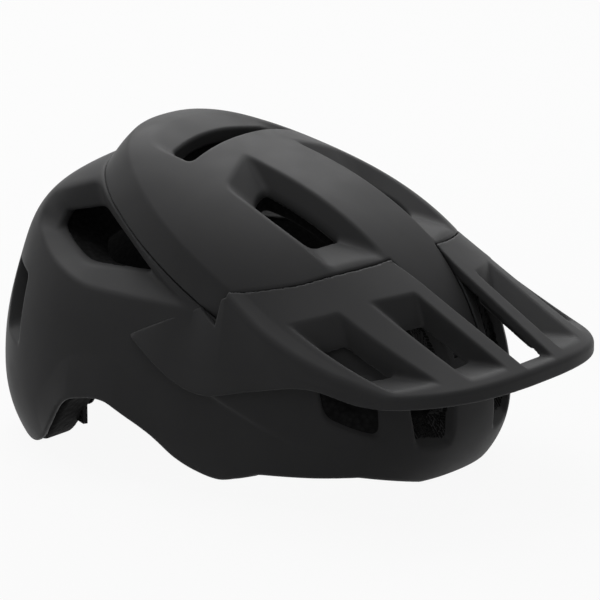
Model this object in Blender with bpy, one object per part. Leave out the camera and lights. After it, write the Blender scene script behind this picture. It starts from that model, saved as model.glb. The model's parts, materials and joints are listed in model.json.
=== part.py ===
"""Mountain-bike half-shell helmet: foam liner, two shells, visor, pads and a dial-fitted rear cradle.

Head frame: +X is the wearer's front, +Y the wearer's left, +Z up, and z = 0 is the table under the brow and rear lobes.
Sizes are in metres.
"""
import math

import bmesh
import bpy
import numpy as np
from mathutils import Matrix, Vector

MM = 0.001

# Clearances and walls
FIT_GAP = 0.35 * MM
RUN_GAP = 0.6 * MM
VENT_GAP = 0.8 * MM
SHELL_WALL = 1.6 * MM
VISOR_WALL = 3.0 * MM
POCKET_WALL = 2.0 * MM

# Head room inside the liner
HEAD_CENTRE_X = -10 * MM
HEAD_HALF_LENGTH = 108 * MM
HEAD_HALF_WIDTH = 82 * MM
HEAD_WAIST_Z = 40 * MM
HEAD_TOP_Z = 134 * MM
HEAD_PLAN_POWER = 2.3
HEAD_DOME_POWER = 2.2

# Outer body: the head room and a wall all round, with its own half length in front and behind
BROW_WALL = 32 * MM
REAR_WALL = 28 * MM
SIDE_WALL = 21 * MM
TOP_WALL = 24 * MM
BODY_CENTRE_X = -45 * MM
BODY_FRONT = HEAD_CENTRE_X + HEAD_HALF_LENGTH + BROW_WALL - BODY_CENTRE_X
BODY_REAR = BODY_CENTRE_X - HEAD_CENTRE_X + HEAD_HALF_LENGTH + REAR_WALL
BODY_HALF_WIDTH = HEAD_HALF_WIDTH + SIDE_WALL
BODY_WAIST_Z = 40 * MM
BODY_TOP_Z = HEAD_TOP_Z + TOP_WALL
BODY_DROP = 85 * MM
ACROSS = BODY_HALF_WIDTH / (103 * MM)
PLAN_POWER = 2.35
DOME_POWER = 2.12

# Crown panel: raised over the body, with a sloped band at its edge
CROWN_SIDE_RISE = 12.5 * MM
CROWN_RISE_INSET = 11 * MM
CROWN_EDGE_HEIGHT = 119 * MM
CROWN_BAND = 12.5 * MM
CROWN_SLOPE = 0.5
CROWN_RIDGE_RISE = ((-150, 9), (-70, 9), (-40, 8), (-5, 5), (45, 3.2), (88, 1.2), (125, 0), (200, 0))

# Seam between crown and visor, and the ridge that runs on to the brow
SEAM_X = (89, 89, 86, 78, 65, 53, 40)
SEAM_SHARE = (0, 0.21, 0.4, 0.6, 0.8, 0.91, 1)
SEAM_END_Z = 104 * MM
RIDGE_HALF_REAR = 19.5 * MM
RIDGE_HALF_FRONT = 12 * MM
RIDGE_END_X = 124 * MM
SEAM_GAP = 0.5 * MM

# Rim line: side view from the rear lobe to the brow, and front view across the brow
SIDE_RIM = ((-95, 0), (-66, 9), (-57, 18), (-47, 34), (-38, 39), (-28, 40), (-16, 35), (-2, 27), (11, 16),
            (22, 10), (33, 7), (43, 9.4), (56, 14))
BROW_RIM = ((26, 0), (58, 12), (72, 14.5), (130, 14.6))
REAR_ARCH_HALF = 30 * MM
REAR_ARCH_HEIGHT = 9 * MM
SHELL_RIM_LIFT = 0.8 * MM

# Visor: ruled between the seam and the front edge, with a fold down each side
VISOR_FRONT_X = 172 * MM
VISOR_FRONT_Z = 73 * MM
VISOR_FRONT_HALF = 84 * MM
VISOR_CORNER_BACK = 36 * MM
VISOR_CORNER_DROP = 4 * MM
VISOR_BOW = (0, 4.5, -4)
VISOR_LOWER = ((-17, 101.5, 77), (33, 100, 54.5), (60, 96, 60), (95, 92.5, 66.5), (123, 87.5, 62), (136, 84, 63.5))
VISOR_LOWER_AT = (0, 0.3, 0.47, 0.68, 0.9, 1)
VISOR_POCKET_DEPTH = 11 * MM
VISOR_LIP = 5.5 * MM
VISOR_MIDDLE_FLOOR = 60 * MM

# Inside fittings: pads, temple pins, strap anchors and visor snaps
PAD_THICK = 6.5 * MM
PAD_GAP = 0.75 * MM
PIN_X = 4 * MM
PIN_Z = 49 * MM
PIN_RADIUS = 2.5 * MM
PIN_HEAD_RADIUS = 5 * MM
PIN_COVER = 10 * MM
ANCHOR_SPOTS = ((28, 21), (-74, 22))
ANCHOR_SIZE = (18 * MM, 15 * MM, 2.5 * MM)
SNAP_SPOT = (5 * MM, 70 * MM)
SNAP_RADIUS = 3 * MM
SNAP_DEPTH = 14 * MM

# Rear cradle: a band hung on the temple pins, with a dial that draws two toothed arms together
BAND_OFFSET = 3.2 * MM
BAND_THICK = 2.6 * MM
BAND_HEIGHT = 12 * MM
BAND_TAB = 7 * MM
BAND_LINE = ((-130, 26), (-90, 27), (-74, 32), (-45, 49), (60, 49))
DIAL_Z = 26 * MM
DIAL_RADIUS = 16 * MM
DIAL_THICK = 11 * MM
SHAFT_RADIUS = 2.5 * MM
PLATE_HALF_WIDTH = 20 * MM
PLATE_HALF_HEIGHT = 14 * MM
ARM_SIDE_GAP = 12 * MM
ARM_REAR_GAP = 7.5 * MM
ARM_RADIUS = HEAD_HALF_WIDTH - ARM_SIDE_GAP
ARM_CENTRE_X = HEAD_CENTRE_X - HEAD_HALF_LENGTH + ARM_REAR_GAP + ARM_RADIUS
RACK_BACK = 5.5 * MM
PADDLE_HALF_HEIGHT = 11 * MM
ARM_THICK = 1.6 * MM
PINION_RADIUS = 4.5 * MM
PINION_TEETH = 10
PINION_TIP = 0.8 * MM
PINION_ROOT = 0.8 * MM
RACK_TIP = 0.5 * MM
RACK_ROOT = 1.1 * MM
TOOTH_PLAY = 0.16 * MM
ARM_TAIL_DEG = 13
ARM_NECK_DEG = 32
ARM_END_DEG = 52
RECESS_HALF_WIDTH = 26 * MM
RECESS_DEPTH = 16 * MM
RECESS_TOP_Z = 54 * MM


def clear_scene():
    """Remove the objects that a new file starts with."""
    for item in list(bpy.data.objects):
        bpy.data.objects.remove(item)


def add_object(name, mesh_builder):
    """Make one mesh object from a bmesh, with normals facing out."""
    bmesh.ops.recalc_face_normals(mesh_builder, faces=mesh_builder.faces)
    if mesh_builder.calc_volume(signed=True) < 0:
        bmesh.ops.reverse_faces(mesh_builder, faces=mesh_builder.faces)
    mesh = bpy.data.meshes.new(name)
    mesh_builder.to_mesh(mesh)
    mesh_builder.free()
    item = bpy.data.objects.new(name, mesh)
    bpy.context.scene.collection.objects.link(item)
    return item


def as_cutter(item):
    """Hide a tool body so that only its effect is left."""
    item.display_type = "WIRE"
    item.hide_render = True
    return item


def boolean(target, tool, operation="DIFFERENCE", self_crossing=False):
    """Combine a target with one tool body."""
    step = target.modifiers.new(operation.title(), "BOOLEAN")
    step.operation = operation
    step.solver = "EXACT"
    step.use_self = self_crossing
    step.object = tool
    as_cutter(tool)
    return target


def form_scale(directions, half_front, half_rear, half_width, half_top, half_drop, plan, dome):
    """Distance from the centre to a rounded form along each direction."""
    x, y, z = directions[:, 0], directions[:, 1], directions[:, 2]
    half_x = np.where(x > 0, half_front, half_rear)
    half_z = np.where(z > 0, half_top, half_drop)
    ring = (np.abs(x) / half_x) ** plan + (np.abs(y) / half_width) ** plan
    return 1.0 / (ring ** (dome / plan) + (np.abs(z) / half_z) ** dome) ** (1 / dome)


def body_points(directions, grow=0.0):
    """Points of the outer body, grown by an even amount, along directions from its centre."""
    reach = form_scale(directions, BODY_FRONT + grow, BODY_REAR + grow, BODY_HALF_WIDTH + grow,
                       BODY_TOP_Z - BODY_WAIST_Z + grow, BODY_DROP + grow, PLAN_POWER, DOME_POWER)
    centre = np.array((BODY_CENTRE_X, 0, BODY_WAIST_Z))
    return centre + directions * reach[:, None]


def head_points(directions, shrink=0.0):
    """Points of the liner's inside wall, drawn in by an even amount."""
    reach = form_scale(directions, HEAD_HALF_LENGTH - shrink, HEAD_HALF_LENGTH - shrink, HEAD_HALF_WIDTH - shrink,
                       HEAD_TOP_Z - HEAD_WAIST_Z - shrink, 10.0, HEAD_PLAN_POWER, HEAD_DOME_POWER)
    centre = np.array((HEAD_CENTRE_X, 0, HEAD_WAIST_Z))
    return centre + directions * reach[:, None]


def crown_rise(points):
    """How far the crown panel stands over the body at given points: full inside its edge, fading over the band."""
    knots = np.array(CROWN_RIDGE_RISE) * MM
    ridge = np.interp(points[:, 0], knots[:, 0], knots[:, 1])
    across = np.clip(np.abs(points[:, 1]) / (BODY_HALF_WIDTH - CROWN_RISE_INSET), 0, 1) ** 1.2
    full = ridge + (np.maximum(CROWN_SIDE_RISE, ridge) - ridge) * across
    height = points[:, 2] + CROWN_SLOPE * points[:, 0]
    share = np.clip((height - (CROWN_EDGE_HEIGHT - CROWN_BAND)) / CROWN_BAND, 0, 1)
    return full * share


def crown_directions(segments, rings):
    """Directions of a dome grid whose rings lie along the crown panel's edge and band."""
    axis = np.array((-math.sin(math.atan(CROWN_SLOPE)), 0, math.cos(math.atan(CROWN_SLOPE))))
    side = np.array((axis[2], 0, -axis[0]))
    turn = np.linspace(0, 2 * math.pi, segments, endpoint=False)
    outward = np.cos(turn)[:, None] * side + np.sin(turn)[:, None] * np.array((0, 1.0, 0))

    def tilted(angle):
        return np.cos(angle)[:, None] * axis + np.sin(angle)[:, None] * outward

    def angle_at(height):
        low, high = np.full(segments, 0.02), np.full(segments, 2.4)
        for _ in range(40):
            middle = (low + high) / 2
            points = body_points(tilted(middle), 6 * MM)
            above = points[:, 2] + CROWN_SLOPE * points[:, 0] > height
            low, high = np.where(above, middle, low), np.where(above, high, middle)
        return low

    edge, foot = angle_at(CROWN_EDGE_HEIGHT), angle_at(CROWN_EDGE_HEIGHT - CROWN_BAND)
    layers = []
    for k in range(1, rings + 1):
        layers.append(tilted(edge * k / rings))
    layers.append(tilted((edge + foot) / 2))
    layers.append(tilted(foot))
    for k in range(1, rings + 1):
        layers.append(tilted(foot + (2.75 - foot) * k / rings))
    return axis, layers


def dome(name, grow, with_crown, segments=56, rings=7):
    """Closed dome of the body at an even offset, with or without the raised crown."""
    axis, layers = crown_directions(segments, rings)
    build = bmesh.new()

    def place(directions):
        points = body_points(directions, grow)
        if with_crown:
            points = points + directions * crown_rise(points)[:, None]
        return points

    top = build.verts.new(place(axis[None])[0])
    bottom = build.verts.new(place(-axis[None])[0])
    loops = []
    for directions in layers:
        loops.append([build.verts.new(point) for point in place(directions)])
    bridge_loops(build, loops, top, bottom)
    bmesh.ops.triangulate(build, faces=build.faces, quad_method="FIXED")
    return add_object(name, build)


def bridge_loops(build, loops, first=None, last=None):
    """Join loops of equal count into a closed skin with an end point at each end."""
    count = len(loops[0])
    for one, two in zip(loops, loops[1:]):
        for k in range(count):
            build.faces.new((one[k], one[(k + 1) % count], two[(k + 1) % count], two[k]))
    for end, loop in ((first, loops[0]), (last, loops[-1])):
        if end is None:
            end = build.verts.new(sum((vert.co for vert in loop), Vector()) / count)
        for k in range(count):
            build.faces.new((end, loop[k], loop[(k + 1) % count]))


def loft(name, loops, grow=0.0):
    """Closed solid through loops of equal point count, grown by an even amount if asked."""
    build = bmesh.new()
    rows = [[build.verts.new(Vector(point)) for point in loop] for loop in loops]
    bridge_loops(build, rows)
    bmesh.ops.triangulate(build, faces=build.faces, quad_method="FIXED")
    if grow:
        grow_solid(build, grow)
    return add_object(name, build)


def grow_solid(build, amount):
    """Move every face of a solid outward: each corner goes where its faces meet after the move."""
    bmesh.ops.recalc_face_normals(build, faces=build.faces)
    if build.calc_volume(signed=True) < 0:
        bmesh.ops.reverse_faces(build, faces=build.faces)
    build.normal_update()
    shifts = []
    for vert in build.verts:
        normals = np.array([face.normal for face in vert.link_faces])
        shift = np.linalg.lstsq(normals, np.ones(len(normals)), rcond=0.05)[0]
        shift = shift / max(1, np.linalg.norm(shift) / 2.2)
        shifts.append(Vector(shift) * amount)
    for vert, shift in zip(build.verts, shifts):
        vert.co += shift


def mirror_copy(item, name):
    """The same solid on the other side of the middle plane."""
    build = bmesh.new()
    build.from_mesh(item.data)
    for vert in build.verts:
        vert.co.y = -vert.co.y
    return add_object(name, build)


def prism(name, outline, axis, start, stop):
    """Flat outline pushed along one axis: the outline's two values fill the other two axes in order."""
    build = bmesh.new()
    corners = []
    for first, second in outline:
        point = [first, second]
        point.insert("XYZ".index(axis), start)
        corners.append(build.verts.new(point))
    face = build.faces.new(corners)
    push = Vector((0, 0, 0))
    push["XYZ".index(axis)] = stop - start
    grown = bmesh.ops.extrude_face_region(build, geom=[face])["geom"]
    bmesh.ops.translate(build, vec=push, verts=[part for part in grown if isinstance(part, bmesh.types.BMVert)])
    bmesh.ops.triangulate(build, faces=build.faces)
    return add_object(name, build)


def grown_loop(points, amount):
    """Move a loop outward by an even amount in its own mean plane."""
    points = np.array(points, float)
    centre = points.mean(axis=0)
    following = np.roll(points, -1, axis=0)
    normal = np.cross(points - centre, following - centre).sum(axis=0)
    normal = normal / np.linalg.norm(normal)
    edge = following - points
    away = np.cross(edge, normal)
    away = away / np.linalg.norm(away, axis=1)[:, None]
    before = np.roll(away, 1, axis=0)
    corner = away + before
    corner = corner / np.maximum((corner * away).sum(axis=1), 0.35)[:, None]
    return points + corner * amount


def drawn(points):
    """Points drawn in millimetres on a body of 103 mm half width, with their place across following the real width."""
    return np.array(points, float) * MM * np.array((1, ACROSS, 1))


def vent(name, outlines, grow, deep):
    """Tapered tool body for one vent: it widens above the mouth and runs straight on below the throat."""
    mouth, throat = drawn(outlines)
    centre = np.array((HEAD_CENTRE_X, 0, HEAD_WAIST_Z))
    aim = centre - throat.mean(axis=0)
    aim = aim / np.linalg.norm(aim)
    top = mouth + (mouth - throat) * 0.6 - aim * 9 * MM
    return as_cutter(loft(name, [top, mouth, throat, throat + aim * deep], grow))


# Vents of the right half, as mouth and throat outlines in millimetres on the body
FRONT_POCKET = (((-6, -18, 161), (-5, -37, 156), (9, -49, 150), (30, -53, 144), (62, -53, 129), (76, -43, 126),
                 (87, -20, 122), (66, -19, 135), (42, -18.5, 147), (18, -18, 156)),
                ((19, -26, 146), (19, -35, 143), (23, -43, 141), (34, -45, 137), (57, -45, 127), (60, -37, 128),
                 (63, -27, 129), (54, -26, 134), (42, -26, 139), (30, -26, 143)))
REAR_POCKET = (((-21, -44, 157), (-20, 0, 165), (-21, 44, 157), (-46, 41, 161), (-61, 27, 163), (-66, 0, 165),
                (-61, -27, 163), (-46, -41, 161)),
               ((-27, -36, 150), (-24, 0, 155), (-27, 36, 150), (-34, 35, 155), (-35, 20, 158.5), (-34, 0, 160),
                (-35, -20, 158.5), (-34, -35, 155)))
SIDE_VENT = (((-96, -69, 119), (-77, -84, 109), (-53, -94, 98), (-8, -94, 98), (18, -94, 90), (15, -91, 97),
              (-8, -89, 108), (-28, -82, 122), (-48, -71, 135), (-66, -58, 144), (-93, -56, 131)),
             ((-87, -62, 117), (-74, -73, 113), (-56, -82, 105), (-33, -83, 103), (-15, -83, 102), (-16, -80, 107),
              (-25, -78, 111), (-36, -73, 117), (-47, -68, 122), (-60, -61, 128), (-87, -57, 121)))
REAR_SLOT = (((-117, -66, 95), (-97, -84, 92), (-97, -92, 56), (-113, -82, 60)),
             ((-106, -62, 88), (-97, -72, 86), (-96, -79, 64), (-104, -71, 66)))
BROW_INNER = (((127, -14, 27), (130, -14, 50), (118, -17, 85), (99, -21, 111), (92, -40, 106), (108, -44, 82),
               (120, -44, 51), (121, -40, 28)),
              ((116, -19, 43), (115, -19, 60), (104, -22, 85), (88, -24, 102), (84, -36, 99), (96, -38, 82),
               (107, -38, 60), (108, -36, 43)))
BROW_OUTER = (((90, -75, 44), (112, -55, 34), (114, -54, 50), (108, -56, 66), (93, -69, 71), (86, -77, 61)),
              ((88, -65, 52), (99, -56, 47), (99, -55, 55), (95, -55, 63), (85, -64, 66), (82, -68, 60)))
VENT_REACH = 55 * MM
WALL_REACH = 1.5 * MM
CROWN_PAIRS = (("front_pocket", FRONT_POCKET),)
LOWER_PAIRS = (("side_vent", SIDE_VENT), ("rear_slot", REAR_SLOT), ("brow_inner", BROW_INNER),
               ("brow_outer", BROW_OUTER))


def vent_pairs(label, family, grow, deep):
    """Tool bodies for a family of vents and their mirror images."""
    tools = []
    for name, outlines in family:
        right = vent(label + name + "_right", outlines, grow, deep)
        tools += [right, as_cutter(mirror_copy(right, label + name + "_left"))]
    return tools


def crown_vents(label, grow, deep):
    """Tool bodies for the vents of the crown panel."""
    return vent_pairs(label, CROWN_PAIRS, grow, deep) + [vent(label + "rear_pocket", REAR_POCKET, grow, deep)]


def lower_vents(label, grow, deep):
    """Tool bodies for the vents of the lower shell."""
    return vent_pairs(label, LOWER_PAIRS, grow, deep)


def surface_over(x, y):
    """Point of the crown panel's outer surface straight above a place in plan."""
    low, high = CROWN_EDGE_HEIGHT - CROWN_SLOPE * x - 4 * MM, 2 * BODY_TOP_Z
    for _ in range(40):
        middle = (low + high) / 2
        if inside_crown((x, y, middle)):
            low = middle
        else:
            high = middle
    return np.array((x, y, low))


def surface_beside(x, z):
    """Point of the crown panel's outer surface on the left at a given station and height."""
    low, high = 0.0, 2 * BODY_HALF_WIDTH
    for _ in range(40):
        middle = (low + high) / 2
        if inside_crown((x, middle, z)):
            low = middle
        else:
            high = middle
    return np.array((x, low, z))


def inside_crown(spot):
    """Whether a point lies under the crown panel's outer surface."""
    centre = np.array((BODY_CENTRE_X, 0, BODY_WAIST_Z))
    ray = np.array(spot) - centre
    reach = np.linalg.norm(ray)
    skin = body_points((ray / reach)[None], 0.0)
    return reach < np.linalg.norm(skin[0] - centre) + crown_rise(skin)[0]


def seam_plan(share):
    """Place of the seam in plan, from the middle plane out to its end at the side fold."""
    end = surface_beside(SEAM_X[-1] * MM, SEAM_END_Z)
    return np.interp(share, SEAM_SHARE, SEAM_X) * MM, share * end[1]


def seam_point(share):
    """Point on the seam at the crown panel's surface."""
    if share >= 1:
        return surface_beside(SEAM_X[-1] * MM, SEAM_END_Z)
    return surface_over(*seam_plan(share))


def crown_block(name, inset):
    """Upright block over the crown panel's plan: behind the seam, with the ridge running on to the brow."""
    rear = -170 * MM
    wide = BODY_HALF_WIDTH + 27 * MM
    half = [(RIDGE_END_X - inset, RIDGE_HALF_FRONT - inset), (SEAM_X[1] * MM - inset, RIDGE_HALF_REAR - inset)]
    for share in SEAM_SHARE[2:]:
        x, y = seam_plan(share)
        half.append((x - inset, y))
    half += [(half[-1][0] - 6 * MM, wide), (rear, wide)]
    outline = half + [(x, -y) for x, y in reversed(half)]
    return as_cutter(prism(name, outline, "Z", -20 * MM, 260 * MM))


def crown_zone(name, inset):
    """The crown block above the foot of the crown's band."""
    foot = CROWN_EDGE_HEIGHT - CROWN_BAND + inset
    reach = 240 * MM
    outline = [(-reach, foot + reach * CROWN_SLOPE), (reach, foot - reach * CROWN_SLOPE), (reach, 2 * reach),
               (-reach, 2 * reach)]
    above = prism(name + "_above", outline, "Y", -reach, reach)
    block = crown_block(name, inset)
    return boolean(block, above, "INTERSECT")


def rim_tools(label, lift):
    """Tool bodies below the rim line: sides, brow and the arch at the back."""
    low = -60 * MM
    side = [(x * MM, z * MM + lift) for x, z in SIDE_RIM]
    last = side[-1]
    side_outline = [(-260 * MM, low), (-260 * MM, lift)] + side + [(last[0], low)]
    sides = prism(label + "rim_side", side_outline, "Y", -200 * MM, 200 * MM)
    half = [(y, z + lift) for x, y, z in drawn([(0, *point) for point in BROW_RIM])]
    brow_outline = half + [(half[-1][0], low), (-half[-1][0], low)] + [(-y, z) for y, z in reversed(half)]
    brow = prism(label + "rim_brow", brow_outline, "X", last[0] - 5 * MM, 220 * MM)
    arch_half = REAR_ARCH_HALF - lift
    top = REAR_ARCH_HEIGHT + lift
    arch_outline = [(-arch_half, low), (-arch_half, lift), (-arch_half + 12 * MM, top), (arch_half - 12 * MM, top),
                    (arch_half, lift), (arch_half, low)]
    arch = prism(label + "rim_arch", arch_outline, "X", -220 * MM, -90 * MM)
    return [as_cutter(tool) for tool in (sides, brow, arch)]


def build_liner():
    """Foam liner: outer form under both shells, hollowed for the head and pierced by the vents."""
    gap = SHELL_WALL + FIT_GAP
    liner = dome("eps_liner", -gap, False)
    raised = dome("liner_crown_form", -gap, True)
    boolean(raised, crown_zone("liner_crown_zone", gap), "INTERSECT")
    boolean(liner, raised, "UNION")
    for tool in rim_tools("liner_", 0.0):
        boolean(liner, tool)
    wall = POCKET_WALL + VENT_GAP
    for tool in crown_vents("liner_", wall, VENT_REACH) + lower_vents("liner_", wall, VENT_REACH):
        boolean(liner, tool)
    return boolean(liner, head_room())


def head_room():
    """Tool body of the head's room: a dome over straight walls that run out below the rim."""
    turn = np.linspace(0, 2 * math.pi, 56, endpoint=False)
    flat = np.stack((np.cos(turn), np.sin(turn), 0 * turn), axis=1)
    build = bmesh.new()
    loops = []
    wall = head_points(flat)
    loops.append(wall - np.array((0, 0, HEAD_WAIST_Z + 40 * MM)))
    for climb in np.radians(np.linspace(0, 80, 11)):
        loops.append(head_points(flat * math.cos(climb) + np.array((0, 0, math.sin(climb)))))
    rows = [[build.verts.new(point) for point in loop] for loop in loops]
    top = build.verts.new(head_points(np.array(((0, 0, 1.0),)))[0])
    bridge_loops(build, rows, None, top)
    bmesh.ops.triangulate(build, faces=build.faces, quad_method="FIXED")
    return as_cutter(add_object("head_room", build))


def build_lower_shell():
    """Side, rear and brow shell: a thin skin with the vents' walls turned in."""
    shell = dome("lower_shell", 0.0, False)
    for tool in lower_vents("lower_", 0.0, VENT_REACH):
        boolean(shell, tool)
    core = dome("lower_core", -SHELL_WALL, False)
    for tool in lower_vents("lower_wall_", POCKET_WALL, WALL_REACH):
        boolean(core, tool)
    boolean(shell, core)
    for tool in rim_tools("lower_", SHELL_RIM_LIFT):
        boolean(shell, tool)
    boolean(shell, crown_zone("lower_crown_zone", -SEAM_GAP / 2))
    return shell


def build_crown_shell():
    """Crown panel: raised skin with its pockets' walls turned in."""
    shell = dome("crown_shell", 0.0, True)
    for tool in crown_vents("crown_", 0.0, VENT_REACH):
        boolean(shell, tool)
    core = dome("crown_core", -SHELL_WALL, True)
    for tool in crown_vents("crown_wall_", POCKET_WALL, WALL_REACH):
        boolean(core, tool)
    boolean(shell, core)
    boolean(shell, crown_zone("crown_zone", SEAM_GAP / 2), "INTERSECT")
    return shell


def along(knots, at, share):
    """Straight-line value between listed points at a share of the way."""
    knots = np.array(knots, float)
    return np.array([np.interp(share, at, knots[:, k]) for k in range(knots.shape[1])])


def visor_front(share):
    """Point on the visor's front edge, from its middle out to a corner."""
    bend = 0.3 * share ** 2 + 0.7 * share ** 4
    return np.array((VISOR_FRONT_X - VISOR_CORNER_BACK * bend, VISOR_FRONT_HALF * share,
                     VISOR_FRONT_Z - VISOR_CORNER_DROP * share ** 2))


def visor_top(share, run):
    """Point on the visor's top: share runs from the middle to the side fold, run from the seam to the front edge."""
    straight = seam_point(share) * (1 - run) + visor_front(share) * run
    return straight + np.array(VISOR_BOW) * MM * share ** 2 * 4 * run * (1 - run)


def visor_side(drop, run):
    """Point on the visor's side: drop runs from the fold to the lower edge."""
    fold = visor_top(1, run)
    lower = drawn(along(VISOR_LOWER, VISOR_LOWER_AT, run))
    return fold * (1 - drop) + lower * drop


VISOR_SHARES = np.linspace(0, 1, 10)
VISOR_DROPS = np.linspace(0, 1, 4)[1:]
VISOR_RUNS = np.linspace(0, 1, 9)


def visor_grid(runs):
    """Points of the visor's outer surface on the left half, row by row from the seam, middle first."""
    rows = []
    for run in runs:
        row = [visor_top(share, run) for share in VISOR_SHARES]
        rows.append(row + [visor_side(drop, run) for drop in VISOR_DROPS])
    return np.array(rows)


def visor_block(name, runs, inset, floor_drop):
    """Solid under the visor's outer surface, drawn in by an inset, down to a floor below its lower edge."""
    half = visor_grid(runs)
    across = np.gradient(half, axis=1)
    across[:, 0] = np.array((0, 1, 0))
    normal = np.cross(np.gradient(half, axis=0), across)
    half = half - normal / np.linalg.norm(normal, axis=2)[:, :, None] * inset
    loops = []
    for run, row in zip(runs, half):
        middle_floor = VISOR_MIDDLE_FLOOR * (1 - run) + (VISOR_FRONT_Z - VISOR_LIP) * run
        row = list(row)
        if floor_drop:
            row.append(row[-1] - np.array((0, 0, floor_drop)))
        right = [point * np.array((1, -1, 1)) for point in row]
        floor = np.array((row[0][0], 0, middle_floor - floor_drop))
        loops.append(right[:0:-1] + row + [floor])
    return loft(name, loops)


# Visor pockets as (share, run) corners of mouth and throat
VISOR_OUTER_POCKET = (((0.93, 0.26), (0.735, 0.24), (0.71, 0.89), (0.93, 0.92)),
                      ((0.86, 0.32), (0.75, 0.31), (0.735, 0.62), (0.85, 0.59)))
VISOR_INNER_POCKET = (((0.57, 0.235), (0.295, 0.26), (0.275, 0.92), (0.56, 0.92)),
                      ((0.46, 0.32), (0.315, 0.33), (0.30, 0.66), (0.43, 0.68)))
VISOR_NOTCH = (((0.2, 0.03), (0.145, 0.965), (-0.145, 0.965), (-0.2, 0.03)),
               ((0.19, 0.03), (0.135, 0.74), (-0.135, 0.74), (-0.19, 0.03)))


def visor_spot(share, run, depth):
    """Point below the visor's top on either side of the middle."""
    side = -1 if share < 0 else 1
    point = visor_top(abs(share), run) * np.array((1, side, 1))
    tilt = visor_top(abs(share), run + 0.01) - visor_top(abs(share), run - 0.01)
    down = np.array((tilt[2], 0, -tilt[0]))
    return point + down / np.linalg.norm(down) * depth


def visor_loops(outlines, mouth_depth):
    """Mouth and throat loops of one pocket of the visor."""
    mouth = np.array([visor_spot(share, run, mouth_depth) for share, run in outlines[0]])
    throat = np.array([visor_spot(share, run, VISOR_POCKET_DEPTH) for share, run in outlines[1]])
    return mouth, throat


def visor_wall_body(name, outlines):
    """Full body of one pocket with its wall, from inside the visor's sheet to just past the throat."""
    mouth, throat = visor_loops(outlines, 0.4 * VISOR_WALL)
    down = np.array((0, 0, -WALL_REACH))
    return as_cutter(loft(name, [grown_loop(mouth, POCKET_WALL), grown_loop(throat, POCKET_WALL),
                                 grown_loop(throat, POCKET_WALL) + down]))


def visor_cut_body(name, outlines):
    """Tapered tool body that opens one pocket of the visor."""
    mouth, throat = visor_loops(outlines, 0.0)
    return as_cutter(loft(name, [mouth + (mouth - throat) * 0.6, mouth, throat, throat - np.array((0, 0, 40 * MM))]))


def joined(name, items):
    """One tool object from several bodies that do not touch."""
    build = bmesh.new()
    for item in items:
        build.from_mesh(item.data)
        bpy.data.objects.remove(item)
    return as_cutter(add_object(name, build))


def visor_pockets(name, make_body):
    """One tool object with the four pockets and the middle notch."""
    bodies = [make_body("notch", VISOR_NOTCH)]
    for label, outlines in (("outer", VISOR_OUTER_POCKET), ("inner", VISOR_INNER_POCKET)):
        left = make_body(label, outlines)
        bodies += [left, mirror_copy(left, label + "_mirror")]
    return joined(name, bodies)


def notch_back():
    """Tool body that opens the notch through to the seam."""
    half = VISOR_NOTCH[0][0][0]
    near = visor_spot(half, VISOR_NOTCH[0][0][1] + 0.02, 0)
    outline = [(near[0], near[1]), (near[0] - 60 * MM, near[1]), (near[0] - 60 * MM, -near[1]), (near[0], -near[1])]
    return as_cutter(prism("visor_notch_back", outline, "Z", 0, 200 * MM))


def build_visor():
    """Visor: folded hood with walled pockets, seated on the lower shell and butted to the crown panel."""
    visor = visor_block("visor", VISOR_RUNS, 0.0, 0.0)
    inner_runs = np.linspace(-0.06, 1 - VISOR_WALL / (85 * MM), len(VISOR_RUNS))
    boolean(visor, as_cutter(visor_block("visor_hollow", inner_runs, VISOR_WALL, 30 * MM)))
    boolean(visor, visor_pockets("visor_walls", visor_wall_body), "UNION")
    boolean(visor, visor_pockets("visor_cuts", visor_cut_body))
    boolean(visor, notch_back())
    boolean(visor, dome("visor_seat", FIT_GAP, False))
    boolean(visor, crown_zone("visor_crown_zone", -SEAM_GAP / 2))
    return visor


def ring(origin, axis, radius, along, segments, start=0.0):
    """Points of a circle about an axis."""
    axis = Vector(axis)
    first = axis.orthogonal().normalized()
    if abs(axis.z) < 0.5:
        first = Vector((0, 0, 1))
    second = axis.cross(first)
    points = []
    for k in range(segments):
        turn = start + 2 * math.pi * k / segments
        points.append(Vector(origin) + axis * along + (first * math.cos(turn) + second * math.sin(turn)) * radius)
    return points


def lathe(name, origin, axis, profile, segments=20):
    """Solid of revolution from (radius, distance along the axis) pairs."""
    return loft(name, [ring(origin, axis, radius, along, segments) for radius, along in profile])


def box(name, low, high):
    """Upright block between two corners."""
    outline = [(low[0], low[1]), (high[0], low[1]), (high[0], high[1]), (low[0], high[1])]
    return prism(name, outline, "Z", low[2], high[2])


def wall_point(x, z, side, shrink=0.0):
    """Point of the liner's inside wall at a station and height on one side."""
    across = abs((x - HEAD_CENTRE_X) / (HEAD_HALF_LENGTH - shrink)) ** HEAD_PLAN_POWER
    y = (HEAD_HALF_WIDTH - shrink) * (1 - across) ** (1 / HEAD_PLAN_POWER)
    return np.array((x, side * y, z))


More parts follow.
